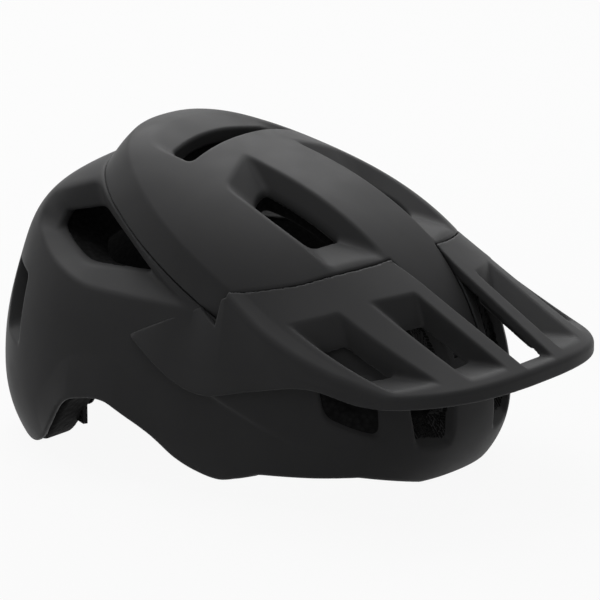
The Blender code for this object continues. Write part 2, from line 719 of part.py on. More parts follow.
def pad(name, azimuth, elevation, half_across, half_up):
    """Soft pad on the liner's inside wall, with rounded corners and a rounded inner edge; angles in degrees."""
    az, el = math.radians(azimuth), math.radians(elevation)
    aim = np.array((math.cos(el) * math.cos(az), math.cos(el) * math.sin(az), math.sin(el)))
    across = np.array((-math.sin(az), math.cos(az), 0))
    up = np.cross(aim, across)
    wide, tall = math.tan(math.radians(half_across)), math.tan(math.radians(half_up))
    turn = np.linspace(0, 2 * math.pi, 24, endpoint=False)
    corner = (np.abs(np.cos(turn)) ** 4 + np.abs(np.sin(turn)) ** 4) ** -0.25
    loops = []
    layers = ((0.45, 0), (0.97, 0), (1, 0.3), (0.97, 0.75), (0.85, 1), (0.45, 1))
    for share, depth in layers:
        u, v = wide * share * corner * np.cos(turn), tall * share * corner * np.sin(turn)
        directions = aim + u[:, None] * across + v[:, None] * up
        directions = directions / np.linalg.norm(directions, axis=1)[:, None]
        loops.append(head_points(directions, PAD_GAP + PAD_THICK * depth))
    return loft(name, loops)


def arm_spot(radius, angle, z):
    """Point on an arc about the arms' upright axis; angle in radians from straight back toward the left."""
    return np.array((ARM_CENTRE_X - radius * math.cos(angle), radius * math.sin(angle), z))


def bent_plate(name, inner, outer, upper, lower):
    """Curved plate about the arms' axis between two lines of (angle, height) points of equal count."""
    loops = []
    for (turn_up, high), (turn_low, low) in zip(upper, lower):
        loops.append([arm_spot(outer, turn_low, low), arm_spot(outer, turn_up, high), arm_spot(inner, turn_up, high),
                      arm_spot(inner, turn_low, low)])
    return loft(name, loops)


def rack_edge():
    """Edge of the left arm's rack as (angle, height) pairs, with its teeth pointing down to the pinion."""
    pitch = 2 * math.pi * PINION_RADIUS / PINION_TEETH
    line = DIAL_Z + PINION_RADIUS
    lean = math.tan(math.radians(20))
    points = []
    for k in range(-5, 6):
        middle = (k + 0.5) * pitch
        half_tip = pitch / 4 - lean * RACK_TIP - TOOTH_PLAY / 2
        half_root = pitch / 4 + lean * RACK_ROOT - TOOTH_PLAY / 2
        points += [(middle - half_root, line + RACK_ROOT), (middle - half_tip, line - RACK_TIP),
                   (middle + half_tip, line - RACK_TIP), (middle + half_root, line + RACK_ROOT)]
    return [(run / ARM_RADIUS, height) for run, height in points]


def build_arm(name):
    """Left toothed arm: a rack over the pinion that widens to a paddle behind the head's side."""
    teeth = rack_edge()
    tail, neck, end = [math.radians(angle) for angle in (-ARM_TAIL_DEG, ARM_NECK_DEG, ARM_END_DEG)]
    strip_top = DIAL_Z + PINION_RADIUS + RACK_BACK
    strip_low = teeth[0][1]
    paddle_top = DIAL_Z + PADDLE_HALF_HEIGHT
    paddle_low = DIAL_Z - PADDLE_HALF_HEIGHT
    lower = [(tail, strip_low)] + teeth
    for share in (0, 0.33, 0.66, 1):
        lower.append((teeth[-1][0] + 0.02 + (neck - 0.04 - teeth[-1][0]) * share, strip_low))
    upper = [(turn, strip_top) for turn, height in lower]
    for share in (0.12, 0.3, 0.5, 0.7, 0.9, 1):
        spread = min(1, 4.5 * min(share, 1.1 - share))
        turn = neck + (end - neck) * share
        lower.append((turn, strip_low + (paddle_low - strip_low) * spread))
        upper.append((turn, strip_top + (paddle_top - strip_top) * spread))
    half = ARM_THICK / 2
    return bent_plate(name, ARM_RADIUS - half, ARM_RADIUS + half, upper, lower)


def build_arm_pad(name):
    """Left arm's soft pad, on the paddle's face toward the head."""
    first, last = math.radians(ARM_NECK_DEG + 2.5), math.radians(ARM_END_DEG - 1)
    near = ARM_RADIUS - ARM_THICK / 2 - FIT_GAP
    loops = []
    for share, thick in ((0, 3), (0.12, 5), (0.5, 5.5), (0.88, 5), (1, 3)):
        turn = first + (last - first) * share
        half = PADDLE_HALF_HEIGHT - (1.5 * MM if share in (0, 1) else 0)
        far = near - thick * MM
        edge = near - 2.5 * MM
        loops.append([arm_spot(near, turn, DIAL_Z - half), arm_spot(near, turn, DIAL_Z + half),
                      arm_spot(edge, turn, DIAL_Z + half), arm_spot(far, turn, DIAL_Z + half - 2.5 * MM),
                      arm_spot(far, turn, DIAL_Z - half + 2.5 * MM), arm_spot(edge, turn, DIAL_Z - half)])
    return loft(name, loops)


def turned_right(item, name):
    """Right-hand copy of a left piece: a half turn about the dial's axis."""
    build = bmesh.new()
    build.from_mesh(item.data)
    for vert in build.verts:
        vert.co.y = -vert.co.y
        vert.co.z = 2 * DIAL_Z - vert.co.z
    return add_object(name, build)


def plate_back():
    """Station of the cradle plate's face behind the arms."""
    return ARM_CENTRE_X - ARM_RADIUS - ARM_THICK / 2 - RUN_GAP


def build_band():
    """Cradle band from pin to pin round the back, with the plate that carries the dial."""
    knots = np.array(BAND_LINE) * MM
    tab = wall_point(PIN_X + BAND_TAB, PIN_Z, 1, BAND_OFFSET)
    first = math.atan2(tab[1], tab[0] - HEAD_CENTRE_X)
    stations = np.linspace(first, 2 * math.pi - first, 33)
    loops = []
    for turn in stations:
        flat = np.array(((math.cos(turn), math.sin(turn), 0.0),))
        outer, inner = head_points(flat, BAND_OFFSET)[0], head_points(flat, BAND_OFFSET + BAND_THICK)[0]
        middle = np.interp(outer[0], knots[:, 0], knots[:, 1])
        low, high = middle - BAND_HEIGHT / 2, middle + BAND_HEIGHT / 2
        loops.append([(outer[0], outer[1], low), (outer[0], outer[1], high), (inner[0], inner[1], high),
                      (inner[0], inner[1], low)])
    band = loft("cradle_band", loops)
    front = plate_back()
    plate = box("cradle_plate", (front - 2.8 * MM, -PLATE_HALF_WIDTH, DIAL_Z - PLATE_HALF_HEIGHT),
                (front, PLATE_HALF_WIDTH, DIAL_Z + PLATE_HALF_HEIGHT))
    boolean(band, plate, "UNION")
    boolean(band, lathe("cradle_bore", (front, 0, DIAL_Z), (1, 0, 0),
                        ((SHAFT_RADIUS + RUN_GAP, -12 * MM), (SHAFT_RADIUS + RUN_GAP, 12 * MM))))
    for side in (-1, 1):
        spot = wall_point(PIN_X, PIN_Z, side)
        boolean(band, lathe("cradle_pin_hole", spot, (0, side, 0),
                            ((PIN_RADIUS + RUN_GAP, -15 * MM), (PIN_RADIUS + RUN_GAP, 5 * MM))))
    return band


def build_cover():
    """Cradle cover: a channel over the racks on the head's side, closed against the plate above and below."""
    back = plate_back() + FIT_GAP
    face = ARM_CENTRE_X - (ARM_RADIUS - ARM_THICK / 2) * math.cos(math.asin(PLATE_HALF_WIDTH / ARM_RADIUS)) + 0.7 * MM
    high = PLATE_HALF_HEIGHT
    outline = [(back, -high), (face + 2 * MM, -high), (face + 2 * MM, high), (back, high), (back, high - 1.8 * MM),
               (face, high - 1.8 * MM), (face, -high + 1.8 * MM), (back, -high + 1.8 * MM)]
    cover = prism("cradle_cover", [(x, z + DIAL_Z) for x, z in outline], "Y", -PLATE_HALF_WIDTH, PLATE_HALF_WIDTH)
    bore = SHAFT_RADIUS + RUN_GAP
    boolean(cover, lathe("cover_bore", (face, 0, DIAL_Z), (1, 0, 0), ((bore, -9 * MM), (bore, 9 * MM))))
    return cover, face


def gear_outline():
    """Pinion outline about its axis as (y, z) pairs, with rolled flanks."""
    base = PINION_RADIUS * math.cos(math.radians(20))

    def roll(radius):
        angle = math.acos(min(1, base / radius))
        return math.tan(angle) - angle

    half_pitch_angle = math.pi / (2 * PINION_TEETH) - TOOTH_PLAY / (2 * PINION_RADIUS)
    flank = []
    for radius in (base, PINION_RADIUS - 0.1 * MM, PINION_RADIUS + 0.35 * MM, PINION_RADIUS + PINION_TIP):
        flank.append((radius, half_pitch_angle + roll(PINION_RADIUS) - roll(radius)))
    flank = [(PINION_RADIUS - PINION_ROOT, flank[0][1])] + flank
    points = []
    for tooth in range(PINION_TEETH):
        middle = 2 * math.pi * tooth / PINION_TEETH
        for radius, half in flank:
            points.append((radius * math.cos(middle - half), radius * math.sin(middle - half)))
        for radius, half in reversed(flank):
            points.append((radius * math.cos(middle + half), radius * math.sin(middle + half)))
    return points


def build_pinion(cover_face):
    """Pinion on its shaft, from the dial's bore to the cover."""
    start = plate_back() - 2.8 * MM - 8 * MM
    shaft = lathe("dial_pinion", (0, 0, DIAL_Z), (1, 0, 0), ((SHAFT_RADIUS, start), (SHAFT_RADIUS, cover_face + 2 * MM)))
    middle = ARM_CENTRE_X - ARM_RADIUS
    outline = [(z, y + DIAL_Z) for y, z in gear_outline()]
    gear = prism("pinion_gear", outline, "X", middle - 1.3 * MM, middle + 1.5 * MM)
    return boolean(shaft, gear, "UNION")


def build_dial():
    """Ribbed dial behind the cradle plate, bored for the pinion's shaft."""
    near = plate_back() - 2.8 * MM - RUN_GAP
    far = near - DIAL_THICK
    segments = 40
    loops = []
    for along, radius, rib in ((near, 13 * MM, 0), (near - 1.5 * MM, DIAL_RADIUS - 1 * MM, 0),
                               (near - 1.6 * MM, DIAL_RADIUS, 1.3 * MM), (far + 2 * MM, DIAL_RADIUS, 1.3 * MM),
                               (far + 0.5 * MM, DIAL_RADIUS - 1.5 * MM, 0.6 * MM), (far, DIAL_RADIUS - 4 * MM, 0)):
        points = []
        for k in range(segments):
            turn = 2 * math.pi * k / segments
            reach = radius - (rib if k % 4 in (2, 3) else 0)
            points.append((along, reach * math.sin(turn), DIAL_Z + reach * math.cos(turn)))
        loops.append(points)
    dial = loft("fit_dial", loops)
    bore = SHAFT_RADIUS + FIT_GAP
    boolean(dial, lathe("dial_bore", (near, 0, DIAL_Z), (1, 0, 0), ((bore, -8 * MM), (bore, 6 * MM))))
    return dial


def pin_tool(name, side, extra):
    """Shape of a temple pin: a flat head on the band and a shaft into the liner."""
    spot = wall_point(PIN_X + PIN_HEAD_RADIUS, PIN_Z, side, BAND_OFFSET + BAND_THICK)
    inner = abs(spot[1]) - FIT_GAP
    head = PIN_HEAD_RADIUS + extra
    profile = ((head, inner - 2 * MM), (head, inner), (PIN_RADIUS + extra, inner),
               (PIN_RADIUS + extra, BODY_HALF_WIDTH - PIN_COVER + extra))
    return lathe(name, (PIN_X, 0, PIN_Z), (0, side, 0), profile, 16)


def anchor_frame(spot, side):
    """Placing matrix of a strap anchor: local x along the wall, z up, y out through the wall."""
    x, z = spot[0] * MM, spot[1] * MM
    along = wall_point(x + 1 * MM, z, side) - wall_point(x - 1 * MM, z, side)
    along = Vector(along).normalized()
    out = Vector((0, 0, 1)).cross(along)
    if out.y * side < 0:
        along, out = -along, -out
    place = Matrix((along, out, Vector((0, 0, 1)))).transposed().to_4x4()
    place.translation = Vector(wall_point(x, z, side))
    return place


def placed(item, place):
    """Move a piece's own points by a placing matrix."""
    item.data.transform(place)
    return item


def build_anchor(name, spot, side):
    """Strap anchor set in the liner's wall: a slotted plate with a peg behind it."""
    long, tall, thick = ANCHOR_SIZE
    place = anchor_frame(spot, side)
    plate = placed(box(name, (-long / 2, 0.1 * MM, -tall / 2), (long / 2, 0.1 * MM + thick, tall / 2)), place)
    peg = placed(lathe(name + "_peg", (0, 0, 3 * MM), (0, 1, 0), ((2.5 * MM, 1.5 * MM), (2.5 * MM, 9 * MM)), 12), place)
    slot = placed(box(name + "_slot", (-6.5 * MM, -5 * MM, -tall / 2 + 2.5 * MM), (6.5 * MM, 8 * MM, -tall / 2 + 5.5 * MM)),
                  place)
    boolean(plate, peg, "UNION")
    return boolean(plate, slot)


def anchor_tool(name, spot, side):
    """Pocket and peg hole for one strap anchor."""
    long, tall, thick = ANCHOR_SIZE
    place = anchor_frame(spot, side)
    gap = FIT_GAP
    pocket = box(name, (-long / 2 - gap, -9 * MM, -tall / 2 - gap), (long / 2 + gap, 0.1 * MM + thick + gap, tall / 2 + gap))
    hole = lathe(name + "_hole", (0, 0, 3 * MM), (0, 1, 0), ((2.5 * MM + gap, 1 * MM), (2.5 * MM + gap, 9 * MM + gap)), 12)
    return placed(pocket, place), placed(hole, place)


def snap_tool(name, side, extra):
    """Shape of a visor snap: a barbed peg from the visor's wing through the shell into the liner."""
    x, z = SNAP_SPOT
    centre = np.array((BODY_CENTRE_X, 0, BODY_WAIST_Z))
    low, high = 0.0, 2 * BODY_HALF_WIDTH
    for _ in range(40):
        middle = (low + high) / 2
        ray = np.array((x, middle, z)) - centre
        reach = np.linalg.norm(ray)
        skin = np.linalg.norm(body_points((ray / reach)[None])[0] - centre)
        low, high = (middle, high) if reach < skin else (low, middle)
    top = low + 1.6 * MM
    radius = SNAP_RADIUS + extra
    profile = ((radius - 0.8 * MM, top - SNAP_DEPTH - extra), (radius, top - SNAP_DEPTH + 2 * MM), (radius, top + extra))
    return lathe(name, (x, 0, z), (0, side, 0), profile, 16)


SIDES = (("left_", 1), ("right_", -1))


def build_fittings(liner, lower_shell, visor):
    """Pads, temple pins, strap anchors and visor snaps, each with its seat cut in the pieces around it."""
    pad("brow_pad", 0, -3, 44, 7)
    pad("crown_pad", 0, 86, 8, 31)
    for label, side in SIDES:
        pad(label + "top_pad", 58 * side, 40, 14, 8)
        pin_tool(label + "temple_pin", side, 0.0)
        boolean(liner, pin_tool(label + "pin_bore", side, FIT_GAP))
        snap_tool(label + "visor_snap", side, 0.0)
        for target in (liner, lower_shell, visor):
            boolean(target, snap_tool(label + target.name + "_snap_bore", side, FIT_GAP))
        for place, spot in zip(("front_", "rear_"), ANCHOR_SPOTS):
            build_anchor(label + place + "strap_anchor", spot, side)
            for tool in anchor_tool(label + place + "anchor_pocket", spot, side):
                boolean(liner, tool)


def build_cradle(liner):
    """Rear cradle: band, cover, dial, pinion and the two toothed arms with their pads."""
    build_band()
    cover, cover_face = build_cover()
    build_pinion(cover_face)
    build_dial()
    arm = build_arm("left_arm")
    turned_right(arm, "right_arm")
    arm_pad = build_arm_pad("left_arm_pad")
    turned_right(arm_pad, "right_arm_pad")
    rear = HEAD_CENTRE_X - HEAD_HALF_LENGTH
    recess = box("dial_recess", (rear - RECESS_DEPTH, -RECESS_HALF_WIDTH, -30 * MM),
                 (rear + 20 * MM, RECESS_HALF_WIDTH, RECESS_TOP_Z))
    boolean(liner, recess)


def hang_on_root():
    """Parent every piece to one root, with the origin under the middle of the whole length."""
    root = bpy.data.objects.new("helmet", None)
    bpy.context.scene.collection.objects.link(root)
    root.location.x = -(BODY_CENTRE_X - BODY_REAR + VISOR_FRONT_X) / 2
    for item in list(bpy.data.objects):
        if item is not root:
            item.parent = root


def main():
    clear_scene()
    liner = build_liner()
    lower_shell = build_lower_shell()
    build_crown_shell()
    visor = build_visor()
    build_fittings(liner, lower_shell, visor)
    build_cradle(liner)
    hang_on_root()


main()
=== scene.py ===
# %% [markdown]
# # A half-shell mountain-bike helmet, dressed over its solid model
# The solid model gives every piece its place and its joints. This lesson dresses it: the moulded shells,
# the visor and the foam get their soft edges and fine surfaces, the pads get their cloth, and a studio is
# set up round them.

# %% Load the solid model
import json
import math

import bmesh
import bpy
import numpy as np
import openvdb
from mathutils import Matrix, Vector

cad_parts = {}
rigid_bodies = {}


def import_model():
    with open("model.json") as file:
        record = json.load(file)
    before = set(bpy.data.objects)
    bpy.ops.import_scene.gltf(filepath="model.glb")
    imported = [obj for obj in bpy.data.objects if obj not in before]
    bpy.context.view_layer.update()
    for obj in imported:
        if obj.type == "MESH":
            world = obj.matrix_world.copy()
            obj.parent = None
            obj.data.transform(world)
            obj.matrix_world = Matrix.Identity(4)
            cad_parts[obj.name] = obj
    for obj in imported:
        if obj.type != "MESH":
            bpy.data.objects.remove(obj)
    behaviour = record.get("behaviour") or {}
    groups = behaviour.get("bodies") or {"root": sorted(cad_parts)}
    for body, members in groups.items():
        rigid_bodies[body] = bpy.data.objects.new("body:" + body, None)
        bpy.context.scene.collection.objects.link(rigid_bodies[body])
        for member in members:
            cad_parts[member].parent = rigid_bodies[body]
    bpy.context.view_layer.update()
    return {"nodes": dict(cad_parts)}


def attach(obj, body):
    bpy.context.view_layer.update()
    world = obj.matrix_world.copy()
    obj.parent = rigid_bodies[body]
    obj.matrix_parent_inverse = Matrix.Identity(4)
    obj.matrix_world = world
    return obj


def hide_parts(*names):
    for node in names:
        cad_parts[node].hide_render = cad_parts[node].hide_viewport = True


for item in list(bpy.data.objects):
    bpy.data.objects.remove(item)
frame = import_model()
print("solid model:", len(frame["nodes"]), "pieces")

# %% [markdown]
# The whole helmet is drawn in millimetres in a head frame: +X is the wearer's front, +Y the left and z =
# 0 the table. The solid model keeps the origin under the middle of the length, so a fixed shift along X
# leads from one to the other.

# %% Frame of the drawing
MM = 0.001
SHIFT_X = -13.0
FINE = 1.0
SHELL_FINER, FOAM_COARSER = 0.85, 1.5
POLISH_ROUNDS = 2


def to_world(points):
    """Head-frame millimetres to the solid model's metres."""
    return (np.asarray(points, float) + np.array((SHIFT_X, 0, 0))) * MM


# %% [markdown]
# A moulded shell has no sharp edge anywhere. One way to get that is to bevel every edge of a mesh, which
# is hard where many faces meet. Here each shape is a field instead: a number that is negative inside the
# piece and positive outside. Two fields join or cut each other with a rounded edge of any radius, and a
# grid turns the result into a mesh.

# %% Fields and how they combine


def blend_max(one, two, radius):
    """Larger of two fields, rounded where they cross: cuts and corners."""
    near = np.maximum(radius - np.abs(one - two), 0) / radius
    return np.maximum(one, two) + near * near * radius * 0.25


def blend_min(one, two, radius):
    """Smaller of two fields, rounded where they cross: joins."""
    return -blend_max(-one, -two, radius)


def soft_clip(value, radius):
    """Clip to 0..1 with rounded ends."""
    return blend_min(blend_max(value, 0.0, radius), 1.0, radius)


def curve(at, knots):
    """Smooth line through listed (position, value) pairs."""
    knots = np.array(knots, float)
    x, y = knots[:, 0], knots[:, 1]
    slope = np.gradient(y, x)
    place = np.clip(np.searchsorted(x, at) - 1, 0, len(x) - 2)
    span = x[place + 1] - x[place]
    t = np.clip((at - x[place]) / span, 0, 1)
    one, two = y[place], y[place + 1]
    lead, trail = slope[place] * span, slope[place + 1] * span
    return (one * (1 + 2 * t) * (1 - t) ** 2 + lead * t * (1 - t) ** 2 + two * t * t * (3 - 2 * t)
            - trail * t * t * (1 - t))


def mesh_from_field(name, field, low, high, step):
    """Mesh of a field that is even about the middle plane, from half a grid, with its points polished."""
    xs = np.arange(low[0], high[0] + step, step, dtype=np.float32)
    ys = np.arange(0, high[1] + step, step, dtype=np.float32)
    zs = np.arange(low[2], high[2] + step, step, dtype=np.float32)
    half = np.empty((len(xs), len(ys), len(zs)), np.float32)
    y, z = np.meshgrid(ys, zs, indexing="ij")
    for k in range(0, len(xs), 16):
        slab = xs[k:k + 16]
        shape = (len(slab),) + y.shape
        x = np.broadcast_to(slab[:, None, None], shape)
        half[k:k + 16] = field(x, np.broadcast_to(y, shape), np.broadcast_to(z, shape))
    whole = np.concatenate((half[:, :0:-1], half), axis=1).clip(-3 * step, 3 * step)
    grid = openvdb.FloatGrid(3 * step)
    grid.copyFromArray(np.ascontiguousarray(whole))
    points, quads = grid.convertToQuads(0.0)
    points = points * step + np.array((low[0], -ys[-1], low[2]))
    for _ in range(POLISH_ROUNDS):
        points = polished(points, field, 0.5 * step)
    mesh = bpy.data.meshes.new(name)
    mesh.from_pydata(to_world(points), [], quads.tolist())
    mesh.shade_smooth()
    piece = bpy.data.objects.new(name, mesh)
    bpy.context.scene.collection.objects.link(piece)
    print(name, "faces:", len(quads))
    return piece


def polished(points, field, reach):
    """Points moved onto the field's zero surface."""
    x, y, z = points.T
    value = field(x, np.abs(y), z)
    nudge = 0.05
    slope = np.stack((field(x + nudge, np.abs(y), z) - field(x - nudge, np.abs(y), z),
                      field(x, np.abs(y + nudge), z) - field(x, np.abs(y - nudge), z),
                      field(x, np.abs(y), z + nudge) - field(x, np.abs(y), z - nudge)), axis=1) / (2 * nudge)
    steep = np.maximum((slope ** 2).sum(axis=1), 0.2)
    move = -slope * (value / steep)[:, None]
    length = np.linalg.norm(move, axis=1)
    return points + move * np.minimum(1, reach / np.maximum(length, 1e-9))[:, None]


# %% [markdown]
# The outer body is a rounded form that is longer in front than behind, with a fuller shoulder behind each
# side vent. The crown panel stands up to 12 mm proud of it at the sides and falls back to it over a
# sloped band, and the panel's ridge runs on under the visor to the brow.

# %% Body and crown
BODY_CENTRE = np.array((-45.0, 0.0, 40.0))
BODY_FRONT, BODY_REAR, BODY_HALF_WIDTH = 175.0, 101.0, 103.0
BODY_RISE, BODY_DROP = 118.0, 85.0
PLAN_POWER, DOME_POWER = 2.35, 2.12
CROWN_SIDE_RISE, CROWN_RISE_HALF_WIDTH = 12.5, 92.0
CROWN_EDGE, CROWN_BAND, CROWN_SLOPE = 119.0, 12.5, 0.5
RIDGE_RISE = ((-150, 11), (-70, 11), (-40, 8), (-5, 3.5), (45, 0.2), (88, -1.2), (125, -1), (200, -1))
SHOULDER, SHOULDER_REACH, SHOULDER_RISE = (-102.0, 52.0, 122.0), (28.0, 34.0, 26.0), 6.5
SEAM = ((0, 89), (18.5, 89), (35, 86), (53, 78), (70.5, 65), (80, 53), (88, 40), (130, 31))
SEAM_HALF = 88.0
RIDGE_START_X, RIDGE_START_HALF, RIDGE_END_X, RIDGE_END_HALF = 88.0, 19.5, 124.0, 12.0
CROWN_ACROSS_POWER, BAND_ROUND, SEAM_LEAN = 2.0, 0.08, 0.85
LEAST_SHARE = 0.05


def body(x, y, z):
    """Distance to the body along rays from its centre, and the ray's share of the way to the skin."""
    dx, dz = x - BODY_CENTRE[0], z - BODY_CENTRE[2]
    half_x = np.where(dx > 0, BODY_FRONT, BODY_REAR)
    half_z = np.where(dz > 0, BODY_RISE, BODY_DROP)
    ring = (np.abs(dx) / half_x) ** PLAN_POWER + (y / BODY_HALF_WIDTH) ** PLAN_POWER
    share = (ring ** (DOME_POWER / PLAN_POWER) + (np.abs(dz) / half_z) ** DOME_POWER) ** (1 / DOME_POWER)
    share = np.maximum(share, LEAST_SHARE)
    reach = np.sqrt(dx * dx + y * y + dz * dz)
    away = sum(((at - middle) / span) ** 2 for at, middle, span in zip((x, y, z), SHOULDER, SHOULDER_REACH))
    return reach - reach / share - SHOULDER_RISE * np.exp(-away), share


def crown_rise(x, y, z, share):
    """Height of the crown panel over the body on the same ray."""
    skin_x = BODY_CENTRE[0] + (x - BODY_CENTRE[0]) / share
    skin_z = BODY_CENTRE[2] + (z - BODY_CENTRE[2]) / share
    ridge = curve(skin_x, RIDGE_RISE)
    across = np.clip(y / share / CROWN_RISE_HALF_WIDTH, 0, 1) ** CROWN_ACROSS_POWER
    full = ridge + np.maximum(CROWN_SIDE_RISE - ridge, 0) * across
    height = skin_z + CROWN_SLOPE * skin_x
    return full * soft_clip((height - CROWN_EDGE + CROWN_BAND) / CROWN_BAND, BAND_ROUND)


def crown_zone(x, y, z):
    """Negative where the crown panel is: behind the seam and on the ridge, above the foot of the band."""
    seam = (x - curve(y, SEAM)) * SEAM_LEAN
    ridge_half = np.interp(x, (RIDGE_START_X, RIDGE_END_X), (RIDGE_START_HALF, RIDGE_END_HALF))
    ridge = np.maximum(y - ridge_half, x - RIDGE_END_X)
    foot = (CROWN_EDGE - CROWN_BAND - z - CROWN_SLOPE * x) / math.hypot(1, CROWN_SLOPE)
    return np.maximum(np.minimum(seam, ridge), foot)


# %% [markdown]
# Each vent is a scoop with sloped walls that narrows to a throat, then runs straight through the foam. It
# is drawn by the corners of its mouth and throat, and its field is the rounded corner of the planes
# through them. A pocket in a smooth skin is drawn in two coordinates of that skin, plan for the crown and
# side view for the side vent, and the third is the depth under it, so its mouth lies on the skin by
# itself.

# %% Vents
FRONT_POCKET = (((-5, 20), (1, 37), (5, 48), (30, 53), (63, 53.5), (77, 52), (88, 21)),
                ((15, 26), (15.5, 35), (20, 42), (33, 44), (50, 44.5), (57, 42), (62, 26)))
REAR_POCKET = (((-20, -44), (-20, 44), (-46, 42), (-61, 27), (-66, 0), (-61, -27), (-46, -42)),
               ((-23, -40), (-23, 40), (-38, 37), (-42, 22), (-43, 0), (-42, -22), (-38, -37)))
SIDE_VENT = (((-104, 131), (-72, 141), (-36, 125), (16, 94), (-53, 95.5), (-82, 105), (-102, 118)),
             ((-90, 122), (-66, 128), (-42, 119), (-18, 105), (-60, 103), (-76, 108), (-90, 115)))
FRONT_POCKET_DEPTH, REAR_POCKET_DEPTH, SIDE_VENT_DEPTH = 10.0, 6.0, 9.0
FRONT_POCKET_CORNER, REAR_POCKET_CORNER, SIDE_VENT_CORNER, DEEP_VENT_CORNER = 3.0, 4.0, 2.5, 3.0
THROAT_ROUND = 1.5
SIDE_VENT_INNER_Y = 45.0
REAR_SLOT = (((-117, -66, 95), (-97, -84, 92), (-97, -92, 56), (-113, -82, 60)),
             ((-106, -62, 88), (-97, -72, 86), (-96, -79, 64), (-104, -71, 66)))
BROW_INNER = (((127, -14, 27), (130, -14, 50), (118, -17, 85), (99, -21, 111), (92, -40, 106), (108, -44, 82),
               (120, -44, 51), (121, -40, 28)),
              ((116, -19, 43), (115, -19, 60), (104, -22, 85), (88, -24, 102), (84, -36, 99), (96, -38, 82),
               (107, -38, 60), (108, -36, 43)))
BROW_OUTER = (((90, -75, 44), (112, -55, 34), (114, -54, 50), (108, -56, 66), (93, -69, 71), (86, -77, 61)),
              ((88, -65, 52), (99, -56, 47), (99, -55, 55), (95, -55, 63), (85, -64, 66), (82, -68, 60)))
HEAD_CENTRE = np.array((-10.0, 0.0, 40.0))


def planes_through(edges, inside):
    """Planes through edge triples, facing away from an inside point."""
    found = []
    for a, b, c in edges:
        normal = np.cross(b - a, c - a)
        normal = normal / np.linalg.norm(normal)
        if normal @ (inside - a) > 0:
            normal = -normal
        found.append((normal, normal @ a))
    return found


def tapered_field(mouth, throat, aim, corner):
    """Field of a scoop that narrows from mouth to throat, joined to a straight tunnel below it."""
    middle = throat.mean(axis=0)
    following = [(k, (k + 1) % len(mouth)) for k in range(len(mouth))]
    scoop = planes_through([(mouth[i], mouth[j], (throat[i] + throat[j]) / 2) for i, j in following], middle)
    tunnel = planes_through([(throat[i], throat[j], throat[i] + aim) for i, j in following], middle)

    def field(x, y, z):
        parts = []
        for planes in (scoop, tunnel):
            value = None
            for normal, offset in planes:
                side = normal[0] * x + normal[1] * y + normal[2] * z - offset
                value = side if value is None else blend_max(value, side, corner)
            parts.append(value)
        return blend_min(parts[0], parts[1], THROAT_ROUND)

    return field


def deep_vent(outlines, corner):
    """Field of a vent drawn in space on the right half and aimed at the head's centre."""
    mouth, throat = (np.array(loop, float) * np.array((1, -1, 1)) for loop in outlines)
    return tapered_field(mouth, throat, HEAD_CENTRE - throat.mean(axis=0), corner)


def surface_vent(outlines, depth, corner, scale=(1, 1)):
    """Field of a vent drawn in two coordinates of a skin, with its throat at a depth under the skin."""
    mouth, throat = (np.array(loop, float) * np.array(scale) for loop in outlines)
    mouth = np.column_stack((mouth, np.zeros(len(mouth))))
    throat = np.column_stack((throat, np.full(len(throat), -depth)))
    return tapered_field(mouth, throat, np.array((0, 0, -1.0)), corner)


front_pocket = surface_vent(FRONT_POCKET, FRONT_POCKET_DEPTH, FRONT_POCKET_CORNER)
rear_pocket = surface_vent(REAR_POCKET, REAR_POCKET_DEPTH, REAR_POCKET_CORNER)
side_vent = surface_vent(SIDE_VENT, SIDE_VENT_DEPTH, SIDE_VENT_CORNER)
deep_vents = [deep_vent(outlines, DEEP_VENT_CORNER) for outlines in (REAR_SLOT, BROW_INNER, BROW_OUTER)]


def crown_cuts(x, y, crown):
    """Fields of the crown's pockets, drawn in plan."""
    return [front_pocket(x, y, crown), rear_pocket(x, y, crown)]


def lower_cuts(x, y, z, plain):
    """Fields of the lower shell's vents, the side vent drawn in side view."""
    side = np.maximum(side_vent(x, z, plain), SIDE_VENT_INNER_Y - y)
    return [side] + [vent(x, y, z) for vent in deep_vents]


# %% [markdown]
# The rim dips at the temple, arches over the ear and drops again to the rear lobes, and the brow has its
# own curve.

# %% Rim
SIDE_RIM = ((-200, 0), (-110, 0), (-99, 0), (-80, 9), (-71, 18), (-57, 34), (-43, 39), (-28, 39.5), (-16, 34),
            (-2, 26), (11, 15), (22, 9), (33, 6), (43, 8), (56, 11.5), (80, 12), (200, 12))
BROW_RIM = ((0, 5), (26, 5), (58, 12.5), (72, 12), (130, 12))
BROW_FROM_X, BROW_BLEND = 50.0, 8.0
REAR_ARCH_HALF, REAR_ARCH_HEIGHT, REAR_ARCH_BLEND, REAR_ARCH_X = 30.0, 9.0, 12.0, -90.0


def rim_height(x, y):
    """Height of the rim over the table."""
    side = curve(x, SIDE_RIM)
    brow = np.interp(y, *np.array(BROW_RIM, float).T)
    front = np.clip((x - BROW_FROM_X) / BROW_BLEND, 0, 1)
    arch = REAR_ARCH_HEIGHT * np.clip((REAR_ARCH_HALF - y) / REAR_ARCH_BLEND, 0, 1) * (x < REAR_ARCH_X)
    return np.maximum(side * (1 - front) + brow * front, arch)


# %% [markdown]
# Both shells are thin sheets under their skins: the field of the skin, and the same field from behind.
# The lower shell is fuller along its rim, flares over the ear, and has a step that carries on from the
# visor's lower edge.

